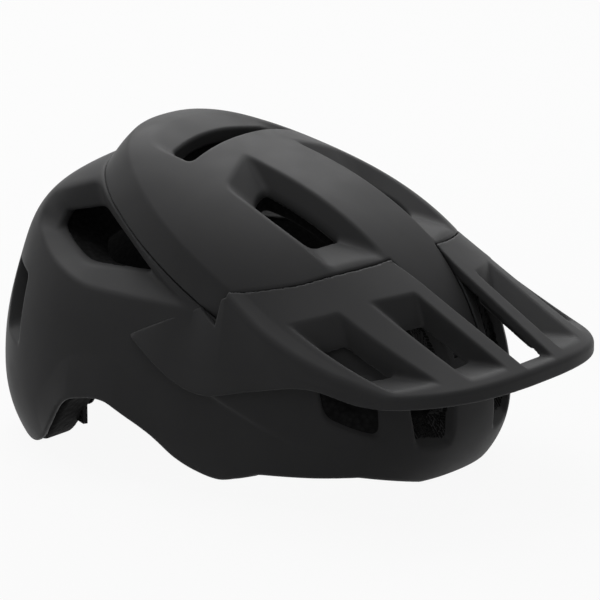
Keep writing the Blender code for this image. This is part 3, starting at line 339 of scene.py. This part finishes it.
# %% Shells
SHELL_WALL, SHEET_ROUND = 1.6, 0.8
RIM_ROLL, RIM_ROLL_HEIGHT, RIM_LIFT, RIM_ROUND = 2.4, 8.0, 0.8, 1.6
VENT_WALL_DEPTH, VENT_EDGE = 13.0, 1.3
SEAM_GAP = 0.5
CREASE_START, CREASE_END = np.array((33.0, 54.5)), np.array((80.0, 30.0))
CREASE_STEP, CREASE_WIDTH, CREASE_FADE, CREASE_ROUND, CREASE_RUN_IN = 2.2, 2.0, 45.0, 0.2, 4.0
EAR_FLARE, EAR_FLARE_HEIGHT, EAR_X, EAR_REACH, EAR_FULL = 3.0, 24.0, -38.0, 26.0, 1.6


def shell_wall(x, y, z):
    """Thickness of the lower shell, fuller along the rim."""
    return SHELL_WALL + RIM_ROLL * np.clip(1 - (z - rim_height(x, y)) / RIM_ROLL_HEIGHT, 0, 1)


def crease(x, z):
    """Step that carries on from the visor's lower edge and fades towards the temple's tip."""
    way = CREASE_END - CREASE_START
    length = math.hypot(*way)
    along = ((x - CREASE_START[0]) * way[0] + (z - CREASE_START[1]) * way[1]) / length ** 2
    across = ((z - CREASE_START[1]) * way[0] - (x - CREASE_START[0]) * way[1]) / length
    step = soft_clip(across / CREASE_WIDTH + 0.5, CREASE_ROUND) * np.clip(1 - across / CREASE_FADE, 0, 1)
    return CREASE_STEP * step * np.clip(1 - along, 0, 1) * np.clip(1 + along * CREASE_RUN_IN, 0, 1)


def ear_flare(x, y, z):
    """Outward flare of the rim over the ear."""
    low = np.clip(1 - (z - rim_height(x, y)) / EAR_FLARE_HEIGHT, 0, 1)
    return EAR_FLARE * low * np.clip(EAR_FULL - np.abs(x - EAR_X) / EAR_REACH, 0, 1)


def lower_skin(x, y, z):
    """Outer surface of the lower shell with its vents."""
    plain, _ = body(x, y, z)
    surface = plain - crease(x, z) - ear_flare(x, y, z)
    for cut in lower_cuts(x, y, z, plain):
        surface = blend_max(surface, -cut, VENT_EDGE)
    return surface


def lower_shell(x, y, z):
    """The lower shell's solid."""
    surface = lower_skin(x, y, z)
    plain, _ = body(x, y, z)
    solid = blend_max(surface, -surface - shell_wall(x, y, z), SHEET_ROUND)
    solid = blend_max(solid, rim_height(x, y) + RIM_LIFT - z, RIM_ROUND)
    solid = np.maximum(solid, -plain - VENT_WALL_DEPTH)
    return blend_max(solid, SEAM_GAP / 2 - crown_zone(x, y, z), SHEET_ROUND)


def crown_shell(x, y, z):
    """The crown panel's solid."""
    plain, share = body(x, y, z)
    plain = plain - crown_rise(x, y, z, share)
    surface = plain
    for cut in crown_cuts(x, y, plain):
        surface = blend_max(surface, -cut, VENT_EDGE)
    solid = blend_max(surface, -surface - SHELL_WALL, SHEET_ROUND)
    solid = np.maximum(solid, -plain - VENT_WALL_DEPTH)
    return blend_max(solid, crown_zone(x, y, z) + SEAM_GAP / 2, SHEET_ROUND)


lower_piece = mesh_from_field("lower_shell_skin", lower_shell, (-152, 0, -3), (136, 108, 154), FINE)
crown_piece = mesh_from_field("crown_shell_skin", crown_shell, (-112, 0, 40), (130, 102, 172),
                              SHELL_FINER * FINE)

# %% [markdown]
# The visor is a folded sheet. Its top is ruled from the seam to the bowed front edge, and its sides fold
# down at a soft crease. Every place on the top has two coordinates, a share of the half width and a run
# from seam to front, and the pockets are drawn in them. The wings run flush into the lower shell at their
# rear.

# %% Visor
VISOR_FRONT_X, VISOR_FRONT_Z, VISOR_HALF = 172.0, 71.0, 84.0
VISOR_CORNER_BACK, VISOR_CORNER_DROP = 36.0, 3.5
VISOR_SHEET, VISOR_WALL_DEPTH, NOTCH_WALL_DEPTH = 3.0, 12.0, 5.0
NOTCH_WALL_SHARES = (0.21, 0.27)
VISOR_UPPER_Z = ((-60, 57), (-17, 77), (40, 104), (69, 91), (89, 83), (106, 76), (121, 71), (136, 68),
                 (200, 66))
VISOR_FOLD_Y = ((-60, 99), (-17, 97.8), (0, 95.2), (20, 88.5), (32, 90), (40, 91), (69, 94.5), (89, 93.5),
                (106, 91), (121, 87.5), (136, 84), (200, 66))
VISOR_LOWER_Y = ((-60, 99), (-17, 99.8), (8, 103.4), (33, 100.8), (60, 96), (95, 92.5), (123, 87.5),
                 (136, 84), (200, 66))
VISOR_LOWER_Z = ((-60, 99), (-17, 77), (33, 54.5), (60, 60), (95, 66.5), (123, 62), (136, 61.5), (172, 63.5),
                 (200, 65))
VISOR_FLARE, FLARE_FROM, FLARE_X, FLARE_RUN_IN = 1.2, 0.75, 10.0, 20.0
VISOR_TUCK, VISOR_REAR_X, LEAST_DROP, VISOR_RUN = 1.2, 40.0, 3.0, 90.0
TOP_LEAN, SIDE_LEAN, FRONT_LEAN = 0.88, 0.98, 0.8
FOLD_ROUND, FRONT_ROUND, POCKET_EDGE, VISOR_ROUND = 3.0, 2.0, 1.1, 1.0
SIDE_BOW, TOP_SAG, FRONT_BOW = 4.5, 4.0, 0.7
SEAM_SHARES = np.linspace(0, 0.96, 49)
SEAM_SEARCH_BELOW, SEAM_SEARCH_TOP = 4.0, 200.0


def seam_height(share):
    """Height of the crown panel along the seam, found by climbing to its surface."""
    y = share * SEAM_HALF
    x = float(curve(np.array(y), SEAM))
    low, high = CROWN_EDGE - CROWN_SLOPE * x - SEAM_SEARCH_BELOW, SEAM_SEARCH_TOP
    for _ in range(30):
        middle = (low + high) / 2
        plain, ray = body(np.array([x]), np.array([y]), np.array([middle]))
        inside = (plain - crown_rise(np.array([x]), np.array([y]), np.array([middle]), ray))[0] < 0
        low, high = (middle, high) if inside else (low, middle)
    return low


SEAM_HEIGHTS = np.array([seam_height(share) for share in SEAM_SHARES])
print("seam heights:", SEAM_HEIGHTS.round(1))


def front_back(share):
    """How far the visor's front edge falls back from its middle."""
    return VISOR_CORNER_BACK * ((1 - FRONT_BOW) * share ** 2 + FRONT_BOW * share ** 4)


def visor_place(x, y):
    """Share, run and height of the visor's top at a place in plan."""
    share = y / SEAM_HALF
    for _ in range(3):
        held = np.clip(share, 0, 1.15)
        seam_x = curve(held * SEAM_HALF, SEAM)
        run = (x - seam_x) / (VISOR_FRONT_X - front_back(held) - seam_x)
        bow = 4 * np.clip(run, 0, 1) * (1 - np.clip(run, 0, 1)) * held ** 2
        share = y / (SEAM_HALF + (VISOR_HALF - SEAM_HALF) * run + SIDE_BOW * bow)
    seam_z = np.interp(share, SEAM_SHARES, SEAM_HEIGHTS)
    front_z = VISOR_FRONT_Z - VISOR_CORNER_DROP * share ** 2
    return share, run, seam_z + (front_z - seam_z) * run - TOP_SAG * bow


VISOR_POCKET_DEPTH, VISOR_POCKET_CORNER = 10.0, 2.0
OUTER_POCKET = (((0.93, 0.26), (0.735, 0.24), (0.71, 0.89), (0.93, 0.92)),
                ((0.86, 0.32), (0.75, 0.31), (0.735, 0.62), (0.85, 0.59)))
INNER_POCKET = (((0.57, 0.235), (0.295, 0.26), (0.275, 0.92), (0.56, 0.92)),
                ((0.46, 0.32), (0.315, 0.33), (0.30, 0.66), (0.43, 0.68)))
NOTCH = (((0.2, -0.6), (0.2, 0.03), (0.145, 0.965), (-0.145, 0.965), (-0.2, 0.03), (-0.2, -0.6)),
         ((0.185, -0.6), (0.185, 0.03), (0.135, 0.74), (-0.135, 0.74), (-0.185, 0.03), (-0.185, -0.6)))


visor_pockets = [surface_vent(outlines, VISOR_POCKET_DEPTH, VISOR_POCKET_CORNER, (SEAM_HALF, VISOR_RUN))
                 for outlines in (OUTER_POCKET, INNER_POCKET, NOTCH)]


def visor(x, y, z):
    """The visor's solid."""
    share, run, top = visor_place(x, y)
    above = (z - top) * TOP_LEAN
    upper, lower = np.interp(x, *np.array(VISOR_UPPER_Z, float).T), curve(x, VISOR_LOWER_Z)
    drop = np.clip((upper - z) / np.maximum(upper - lower, LEAST_DROP), 0, 1.2)
    side_y = curve(x, VISOR_FOLD_Y) * (1 - drop) + curve(x, VISOR_LOWER_Y) * drop
    flare = np.clip((drop - FLARE_FROM) / (1 - FLARE_FROM), 0, 1)
    flare = flare * np.clip((x - FLARE_X) / FLARE_RUN_IN, 0, 1)
    beside = (y - side_y - VISOR_FLARE * flare) * SIDE_LEAN
    ahead = (x - VISOR_FRONT_X + front_back(np.clip(y / VISOR_HALF, 0, 1.1))) * FRONT_LEAN
    hood = blend_max(blend_max(above, beside, FOLD_ROUND), ahead, FRONT_ROUND)
    carved = hood
    for pocket in visor_pockets:
        carved = blend_max(carved, -pocket(share * SEAM_HALF, run * VISOR_RUN, above), POCKET_EDGE)
    solid = blend_max(carved, -carved - VISOR_SHEET, VISOR_ROUND)
    deepest = np.interp(share, NOTCH_WALL_SHARES, (NOTCH_WALL_DEPTH, VISOR_WALL_DEPTH))
    solid = np.maximum(solid, -hood - deepest)
    solid = blend_max(solid, lower - z, VISOR_ROUND)
    solid = np.maximum(solid, np.where(x < VISOR_REAR_X, z - upper, -np.inf))
    plain, _ = body(x, y, z)
    solid = np.maximum(solid, -VISOR_TUCK - plain)
    return blend_max(solid, SEAM_GAP / 2 - crown_zone(x, y, z), SHEET_ROUND)


visor_piece = mesh_from_field("visor_hood", visor, (-24, 0, 48), (177, 106, 134), SHELL_FINER * FINE)

# %% [markdown]
# The foam liner fills the space under both shells, with a room for the head, and the vents run on through
# it.

# %% Foam liner
HEAD_HALF_LENGTH, HEAD_HALF_WIDTH, HEAD_RISE = 108.0, 82.0, 94.0
HEAD_PLAN_POWER, HEAD_DOME_POWER = 2.3, 2.2
FOAM_VENT_ROOM = (2.8, 2.8, 0.0, -4.0, 2.8, 2.8)
FOAM_GAP, FOAM_ZONE_GAP, FOAM_VENT_EDGE, FOAM_ROUND, FOAM_RIM_ROUND = 0.5, 2.0, 2.0, 3.0, 2.0
RECESS_HALF, RECESS_TOP, RECESS_REAR, RECESS_FRONT = 26.0, 54.0, -134.0, -90.0


def head_room(x, y, z):
    """Distance to the head's room, with straight walls below its waist."""
    dx, dz = x - HEAD_CENTRE[0], np.maximum(z - HEAD_CENTRE[2], 0)
    ring = (np.abs(dx) / HEAD_HALF_LENGTH) ** HEAD_PLAN_POWER + (y / HEAD_HALF_WIDTH) ** HEAD_PLAN_POWER
    rise = (dz / HEAD_RISE) ** HEAD_DOME_POWER
    share = (ring ** (HEAD_DOME_POWER / HEAD_PLAN_POWER) + rise) ** (1 / HEAD_DOME_POWER)
    share = np.maximum(share, LEAST_SHARE)
    reach = np.sqrt(dx * dx + y * y + dz * dz)
    return reach - reach / share


def liner(x, y, z):
    """The foam's solid, with the recess for the dial."""
    plain, share = body(x, y, z)
    crown = plain - crown_rise(x, y, z, share)
    under_crown = np.maximum(crown + SHELL_WALL + FOAM_GAP, crown_zone(x, y, z) + FOAM_ZONE_GAP)
    foam = np.minimum(plain + shell_wall(x, y, z) + FOAM_GAP, under_crown)
    cuts = lower_cuts(x, y, z, plain) + crown_cuts(x, y, crown)
    for cut, room in zip(cuts, FOAM_VENT_ROOM):
        foam = blend_max(foam, room - cut, FOAM_VENT_EDGE)
    foam = blend_max(foam, -head_room(x, y, z), FOAM_ROUND)
    recess = np.maximum(np.maximum(y - RECESS_HALF, z - RECESS_TOP), RECESS_REAR - x)
    recess = np.maximum(recess, x - RECESS_FRONT)
    foam = blend_max(foam, -recess, FOAM_ROUND)
    return blend_max(foam, rim_height(x, y) - z, FOAM_RIM_ROUND)


liner_piece = mesh_from_field("foam_liner", liner, (-150, 0, -3), (136, 106, 172), FOAM_COARSER * FINE)

for piece, node, slot in ((lower_piece, "lower_shell", "shell_black"),
                          (crown_piece, "crown_shell", "shell_black"),
                          (visor_piece, "visor", "visor_black"),
                          (liner_piece, "eps_liner", "liner_foam")):
    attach(piece, "helmet")
    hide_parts(node)

# %% [markdown]
# The pads are foam in knitted cloth. Each is a crowned cushion that follows the wall it sits on, thin at
# its sewn edge, and the brow and top pads have sewn channels across them.

# %% Pads
PAD_GAP, PAD_THICK, ARM_PAD_THICK, ARM_PAD_GAP, ARM_PAD_HALF_HEIGHT = 0.75, 6.5, 5.5, 0.35, 11.0
SEWN_EDGE, CROWNED, CHANNEL_DEPTH, CHANNEL_WIDTH = 0.12, 0.14, 0.3, 0.06


def head_surface(directions, shrink):
    """Points of the head room's wall along directions, drawn in by an even amount."""
    x, y, z = directions.T
    ring = (np.abs(x) / (HEAD_HALF_LENGTH - shrink)) ** HEAD_PLAN_POWER
    ring = ring + (np.abs(y) / (HEAD_HALF_WIDTH - shrink)) ** HEAD_PLAN_POWER
    dome = (np.maximum(z, 0) / (HEAD_RISE - shrink)) ** HEAD_DOME_POWER
    reach = (ring ** (HEAD_DOME_POWER / HEAD_PLAN_POWER) + dome) ** (-1 / HEAD_DOME_POWER)
    return HEAD_CENTRE + directions * reach[:, None]


def cushion(name, place, rounds=72, layers=26, quilts=0):
    """Closed cushion from a place(u, v, depth) rule over a rounded outline, with sewn channels if asked."""
    turn = np.linspace(0, 2 * math.pi, rounds, endpoint=False)
    corner = (np.abs(np.cos(turn)) ** 4 + np.abs(np.sin(turn)) ** 4) ** -0.25
    loops = []
    for k in range(layers + 1):
        way = k / layers
        share = np.sin(math.pi * min(max(way, 0.004), 0.996))
        u, v = share * corner * np.cos(turn), share * corner * np.sin(turn)
        if way <= 0.5:
            depth = np.zeros(rounds)
        else:
            crown = (1 - share ** 6) ** 0.5
            full = crown * (1 - CROWNED * share ** 2)
            depth = SEWN_EDGE + (1 - SEWN_EDGE) * full * np.ones(rounds)
            if quilts:
                channel = np.abs(((u * 0.5 + 0.5) * quilts) % 1 - 0.5)
                depth = depth * (1 - CHANNEL_DEPTH * np.exp(-((channel - 0.5) / CHANNEL_WIDTH) ** 2))
        loops.append(place(u, v, depth))
    build = bmesh.new()
    rows = [[build.verts.new(point) for point in to_world(loop)] for loop in loops]
    for one, two in zip(rows, rows[1:]):
        for k in range(rounds):
            build.faces.new((one[k], one[(k + 1) % rounds], two[(k + 1) % rounds], two[k]))
    build.faces.new(rows[0])
    build.faces.new(rows[-1])
    bmesh.ops.recalc_face_normals(build, faces=build.faces)
    mesh = bpy.data.meshes.new(name)
    build.to_mesh(mesh)
    build.free()
    mesh.shade_smooth()
    piece = bpy.data.objects.new(name, mesh)
    bpy.context.scene.collection.objects.link(piece)
    return piece


def wall_pad(name, azimuth, elevation, half_across, half_up, quilts):
    """Cushion on the head room's wall; angles in degrees."""
    az, el = math.radians(azimuth), math.radians(elevation)
    aim = np.array((math.cos(el) * math.cos(az), math.cos(el) * math.sin(az), math.sin(el)))
    across = np.array((-math.sin(az), math.cos(az), 0))
    up = np.cross(aim, across)
    wide, tall = math.tan(math.radians(half_across)), math.tan(math.radians(half_up))

    def place(u, v, depth):
        directions = aim + (wide * u)[:, None] * across + (tall * v)[:, None] * up
        directions = directions / np.linalg.norm(directions, axis=1)[:, None]
        outer, inner = head_surface(directions, PAD_GAP), head_surface(directions, PAD_GAP + PAD_THICK)
        return outer + (inner - outer) * depth[:, None]

    return cushion(name, place, quilts=quilts)


ARM_CENTRE_X, ARM_RADIUS, ARM_THICK, DIAL_Z = -40.5, 70.0, 1.6, 26.0
ARM_PAD_FIRST, ARM_PAD_LAST = 34.5, 51.0


def arm_pad(name, side):
    """Cushion on the face of a cradle arm's paddle."""
    middle, half = (ARM_PAD_FIRST + ARM_PAD_LAST) / 2, (ARM_PAD_LAST - ARM_PAD_FIRST) / 2
    near = ARM_RADIUS - ARM_THICK / 2 - ARM_PAD_GAP

    def place(u, v, depth):
        turn = np.radians(middle + half * u)
        reach = near - ARM_PAD_THICK * depth
        x, y = ARM_CENTRE_X - reach * np.cos(turn), side * reach * np.sin(turn)
        return np.stack((x, y, DIAL_Z + ARM_PAD_HALF_HEIGHT * v), axis=1)

    return cushion(name, place, rounds=48, layers=20)


pads = [(wall_pad("brow_cushion", 0, -3, 44, 7, 7), "brow_pad", "helmet"),
        (wall_pad("crown_cushion", 0, 86, 8, 31, 0), "crown_pad", "helmet"),
        (wall_pad("left_top_cushion", 58, 40, 14, 8, 3), "left_top_pad", "helmet"),
        (wall_pad("right_top_cushion", -58, 40, 14, 8, 3), "right_top_pad", "helmet"),
        (arm_pad("left_arm_cushion", 1), "left_arm_pad", "left_draw"),
        (arm_pad("right_arm_cushion", -1), "right_arm_pad", "right_draw")]
for piece, node, carrier in pads:
    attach(piece, carrier)
    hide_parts(node)
print("pads:", len(pads))

# %% [markdown]
# The shells are one moulded plastic: a matte charcoal with a very fine grain and hardly any gloss. The
# colour drifts a little and the roughness with it, as on any moulded part.

# %% Finishes
DULL = 0.08
EDGE_BEVEL = 0.25


def new_finish(name, colour, rough):
    """Principled material with its tree, shader and object coordinates."""
    finish = bpy.data.materials.new(name)
    finish.use_nodes = True
    tree = finish.node_tree
    shader = tree.nodes["Principled BSDF"]
    shader.inputs["Base Color"].default_value = (*colour, 1)
    shader.inputs["Roughness"].default_value = rough
    shader.inputs["Specular IOR Level"].default_value = DULL
    place = tree.nodes.new("ShaderNodeTexCoord")
    return finish, tree, shader, place.outputs["Object"]


def noise(tree, place, scale, detail=3.0):
    """Noise texture at a scale per metre."""
    node = tree.nodes.new("ShaderNodeTexNoise")
    node.inputs["Scale"].default_value = scale
    node.inputs["Detail"].default_value = detail
    tree.links.new(place, node.inputs["Vector"])
    return node.outputs["Fac"]


def ramp(tree, factor, stops):
    """Colour ramp over a factor."""
    node = tree.nodes.new("ShaderNodeValToRGB")
    for k, (at, colour) in enumerate(stops):
        stop = node.color_ramp.elements[k] if k < 2 else node.color_ramp.elements.new(at)
        stop.position = at
        stop.color = (*colour, 1)
    tree.links.new(factor, node.inputs["Fac"])
    return node.outputs["Color"]


def bump(tree, shader, height, distance, strength):
    """Bump from a height."""
    node = tree.nodes.new("ShaderNodeBump")
    node.inputs["Distance"].default_value = distance
    node.inputs["Strength"].default_value = strength
    tree.links.new(height, node.inputs["Height"])
    tree.links.new(node.outputs["Normal"], shader.inputs["Normal"])


def grey(level):
    """Neutral colour of one level."""
    return (level, level, level * 1.02)


def moulded_plastic(name, level, rough):
    """Matte moulded plastic with a fine grain."""
    finish, tree, shader, place = new_finish(name, grey(level), rough)
    drift = noise(tree, place, 22, 4)
    colour = ramp(tree, drift, ((0.3, grey(level * 0.93)), (0.7, grey(level * 1.06))))
    tree.links.new(colour, shader.inputs["Base Color"])
    gloss = ramp(tree, noise(tree, place, 60, 3), ((0.3, (rough - 0.03,) * 3), (0.7, (rough + 0.04,) * 3)))
    tree.links.new(gloss, shader.inputs["Roughness"])
    bump(tree, shader, noise(tree, place, 2600, 2), 0.00008, 0.35)
    return finish


def bead_foam(name, level):
    """Expanded foam: pressed beads with dark joints."""
    finish, tree, shader, place = new_finish(name, grey(level), 0.85)
    beads = tree.nodes.new("ShaderNodeTexVoronoi")
    beads.inputs["Scale"].default_value = 330
    tree.links.new(place, beads.inputs["Vector"])
    colour = ramp(tree, beads.outputs["Distance"], ((0.0, grey(level * 1.5)), (0.75, grey(level * 0.5))))
    tree.links.new(colour, shader.inputs["Base Color"])
    flat = tree.nodes.new("ShaderNodeMath")
    flat.operation = "SUBTRACT"
    flat.inputs[0].default_value = 1.0
    tree.links.new(beads.outputs["Distance"], flat.inputs[1])
    bump(tree, shader, flat.outputs[0], 0.0008, 0.4)
    return finish


def knit(name, level):
    """Knitted pad cloth with a soft nap."""
    finish, tree, shader, place = new_finish(name, grey(level), 0.9)
    shader.inputs["Sheen Weight"].default_value = 0.25
    shader.inputs["Sheen Roughness"].default_value = 0.5
    loops = tree.nodes.new("ShaderNodeTexVoronoi")
    loops.inputs["Scale"].default_value = 900
    loops.inputs["Randomness"].default_value = 0.35
    tree.links.new(place, loops.inputs["Vector"])
    colour = ramp(tree, loops.outputs["Distance"], ((0.0, grey(level * 1.35)), (0.7, grey(level * 0.45))))
    tree.links.new(colour, shader.inputs["Base Color"])
    bump(tree, shader, loops.outputs["Distance"], 0.0005, 0.5)
    return finish


shell_finish = moulded_plastic("matte_charcoal_shell", 0.05, 0.5)
cradle_finish = moulded_plastic("satin_black_cradle", 0.03, 0.42)
foam_finish = bead_foam("black_bead_foam", 0.012)
knit_finish = knit("black_pad_knit", 0.025)
rubber_finish = moulded_plastic("soft_black_rubber", 0.022, 0.7)
for piece in (lower_piece, crown_piece, visor_piece):
    piece.data.materials.append(shell_finish)
liner_piece.data.materials.append(foam_finish)
for piece, node, carrier in pads:
    piece.data.materials.append(knit_finish)
for name, node in frame["nodes"].items():
    if node.hide_render:
        continue
    node.data.materials.clear()
    node.data.materials.append(rubber_finish if name == "fit_dial" else cradle_finish)
    edge = node.modifiers.new("Edge", "BEVEL")
    edge.width = EDGE_BEVEL * MM
    edge.segments = 2
    edge.limit_method = "ANGLE"
    node.modifiers.new("Normals", "WEIGHTED_NORMAL")
print("finishes:", len(bpy.data.materials))

# %% [markdown]
# The studio is a white floor and backdrop with broad soft lights above and behind and weak fills, so that
# the top and the rear of the matte shell are light and its near sides fall off, as on a product page.

# %% Studio


def soft_light(name, place, target, size, power):
    """Square area light aimed at a point."""
    data = bpy.data.lights.new(name, "AREA")
    data.shape = "SQUARE"
    data.size = size
    data.energy = power
    lamp = bpy.data.objects.new(name, data)
    lamp.location = place
    lamp.rotation_euler = (Vector(target) - Vector(place)).to_track_quat("-Z", "Y").to_euler()
    bpy.context.scene.collection.objects.link(lamp)


aim = (0, 0, 0.08)
soft_light("top_light", (0, 0, 1.8), aim, 1.3, 8)
soft_light("back_light", (-0.7, 0.9, 1.4), aim, 1.3, 21.5)
soft_light("rear_light", (-1.0, 0, 1.5), aim, 1.3, 5.5)
soft_light("rear_fill", (-1.7, 0, 0.9), aim, 1.2, 4.2)
soft_light("front_fill", (1.0, -1.3, 0.9), aim, 1.2, 2.2)


def seen_white(tree):
    """Factor that is 1 where the camera, a reflection or a clear piece looks at the white surround."""
    light_path = tree.nodes.new("ShaderNodeLightPath")
    seen = light_path.outputs["Is Camera Ray"]
    for kind in ("Is Glossy Ray", "Is Transmission Ray"):
        either = tree.nodes.new("ShaderNodeMath")
        either.operation = "MAXIMUM"
        tree.links.new(seen, either.inputs[0])
        tree.links.new(light_path.outputs[kind], either.inputs[1])
        seen = either.outputs[0]
    return seen


world = bpy.data.worlds.new("studio")
bpy.context.scene.world = world
world.use_nodes = True
tree = world.node_tree
tree.nodes.clear()
out = tree.nodes.new("ShaderNodeOutputWorld")
room = tree.nodes.new("ShaderNodeBackground")
room.inputs["Strength"].default_value = 0.02
white = tree.nodes.new("ShaderNodeBackground")
white.inputs["Strength"].default_value = 1.0
pick = tree.nodes.new("ShaderNodeMixShader")
tree.links.new(seen_white(tree), pick.inputs["Fac"])
tree.links.new(room.outputs[0], pick.inputs[1])
tree.links.new(white.outputs[0], pick.inputs[2])
tree.links.new(pick.outputs[0], out.inputs["Surface"])

floor_mesh = bpy.data.meshes.new("floor")
floor_mesh.from_pydata([(-3, -3, 0), (3, -3, 0), (3, 3, 0), (-3, 3, 0)], [], [(0, 1, 2, 3)])
floor = bpy.data.objects.new("floor", floor_mesh)
bpy.context.scene.collection.objects.link(floor)
floor_finish = bpy.data.materials.new("white_floor")
floor_finish.use_nodes = True
tree = floor_finish.node_tree
paint = tree.nodes["Principled BSDF"]
paint.inputs["Base Color"].default_value = (0.5, 0.5, 0.5, 1)
paint.inputs["Roughness"].default_value = 0.9
glow = tree.nodes.new("ShaderNodeEmission")
glow.inputs["Strength"].default_value = 1.0
pick = tree.nodes.new("ShaderNodeMixShader")
share = tree.nodes.new("ShaderNodeMath")
share.operation = "MULTIPLY"
share.inputs[1].default_value = 0.93
tree.links.new(seen_white(tree), share.inputs[0])
tree.links.new(share.outputs[0], pick.inputs["Fac"])
tree.links.new(paint.outputs[0], pick.inputs[1])
tree.links.new(glow.outputs[0], pick.inputs[2])
tree.links.new(pick.outputs[0], tree.nodes["Material Output"].inputs["Surface"])
floor_mesh.materials.append(floor_finish)

# %% [markdown]
# The photograph is taken with a long lens from the wearer's right front, a little above the brow.

# %% Camera
CAMERA_SIDE, CAMERA_UP, CAMERA_AWAY = math.radians(52), math.radians(15.5), 2.2
TARGET = np.array((-0.013, 0.0, 0.080))
toward = np.array((math.cos(CAMERA_SIDE) * math.cos(CAMERA_UP), -math.sin(CAMERA_SIDE) * math.cos(CAMERA_UP),
                   math.sin(CAMERA_UP)))
right = np.array((math.sin(CAMERA_SIDE), math.cos(CAMERA_SIDE), 0))
up = np.cross(toward, right)
TARGET_PIXEL, PIXELS_PER_METRE = np.array((275.0, 293.0)), 1920.0
PICTURE, SENSOR = 600.0, 36.0
aside, below = (PICTURE / 2 - TARGET_PIXEL[0], TARGET_PIXEL[1] - PICTURE / 2)
aim_at = TARGET + right * aside / PIXELS_PER_METRE + up * below / PIXELS_PER_METRE
lens = bpy.data.cameras.new("camera")
lens.sensor_width = SENSOR
lens.lens = PIXELS_PER_METRE * CAMERA_AWAY / PICTURE * SENSOR
camera = bpy.data.objects.new("camera", lens)
camera.location = aim_at + toward * CAMERA_AWAY
camera.rotation_euler = Vector(-toward).to_track_quat("-Z", "Y").to_euler()
bpy.context.scene.collection.objects.link(camera)
bpy.context.scene.camera = camera
bpy.context.scene.view_settings.view_transform = "Standard"
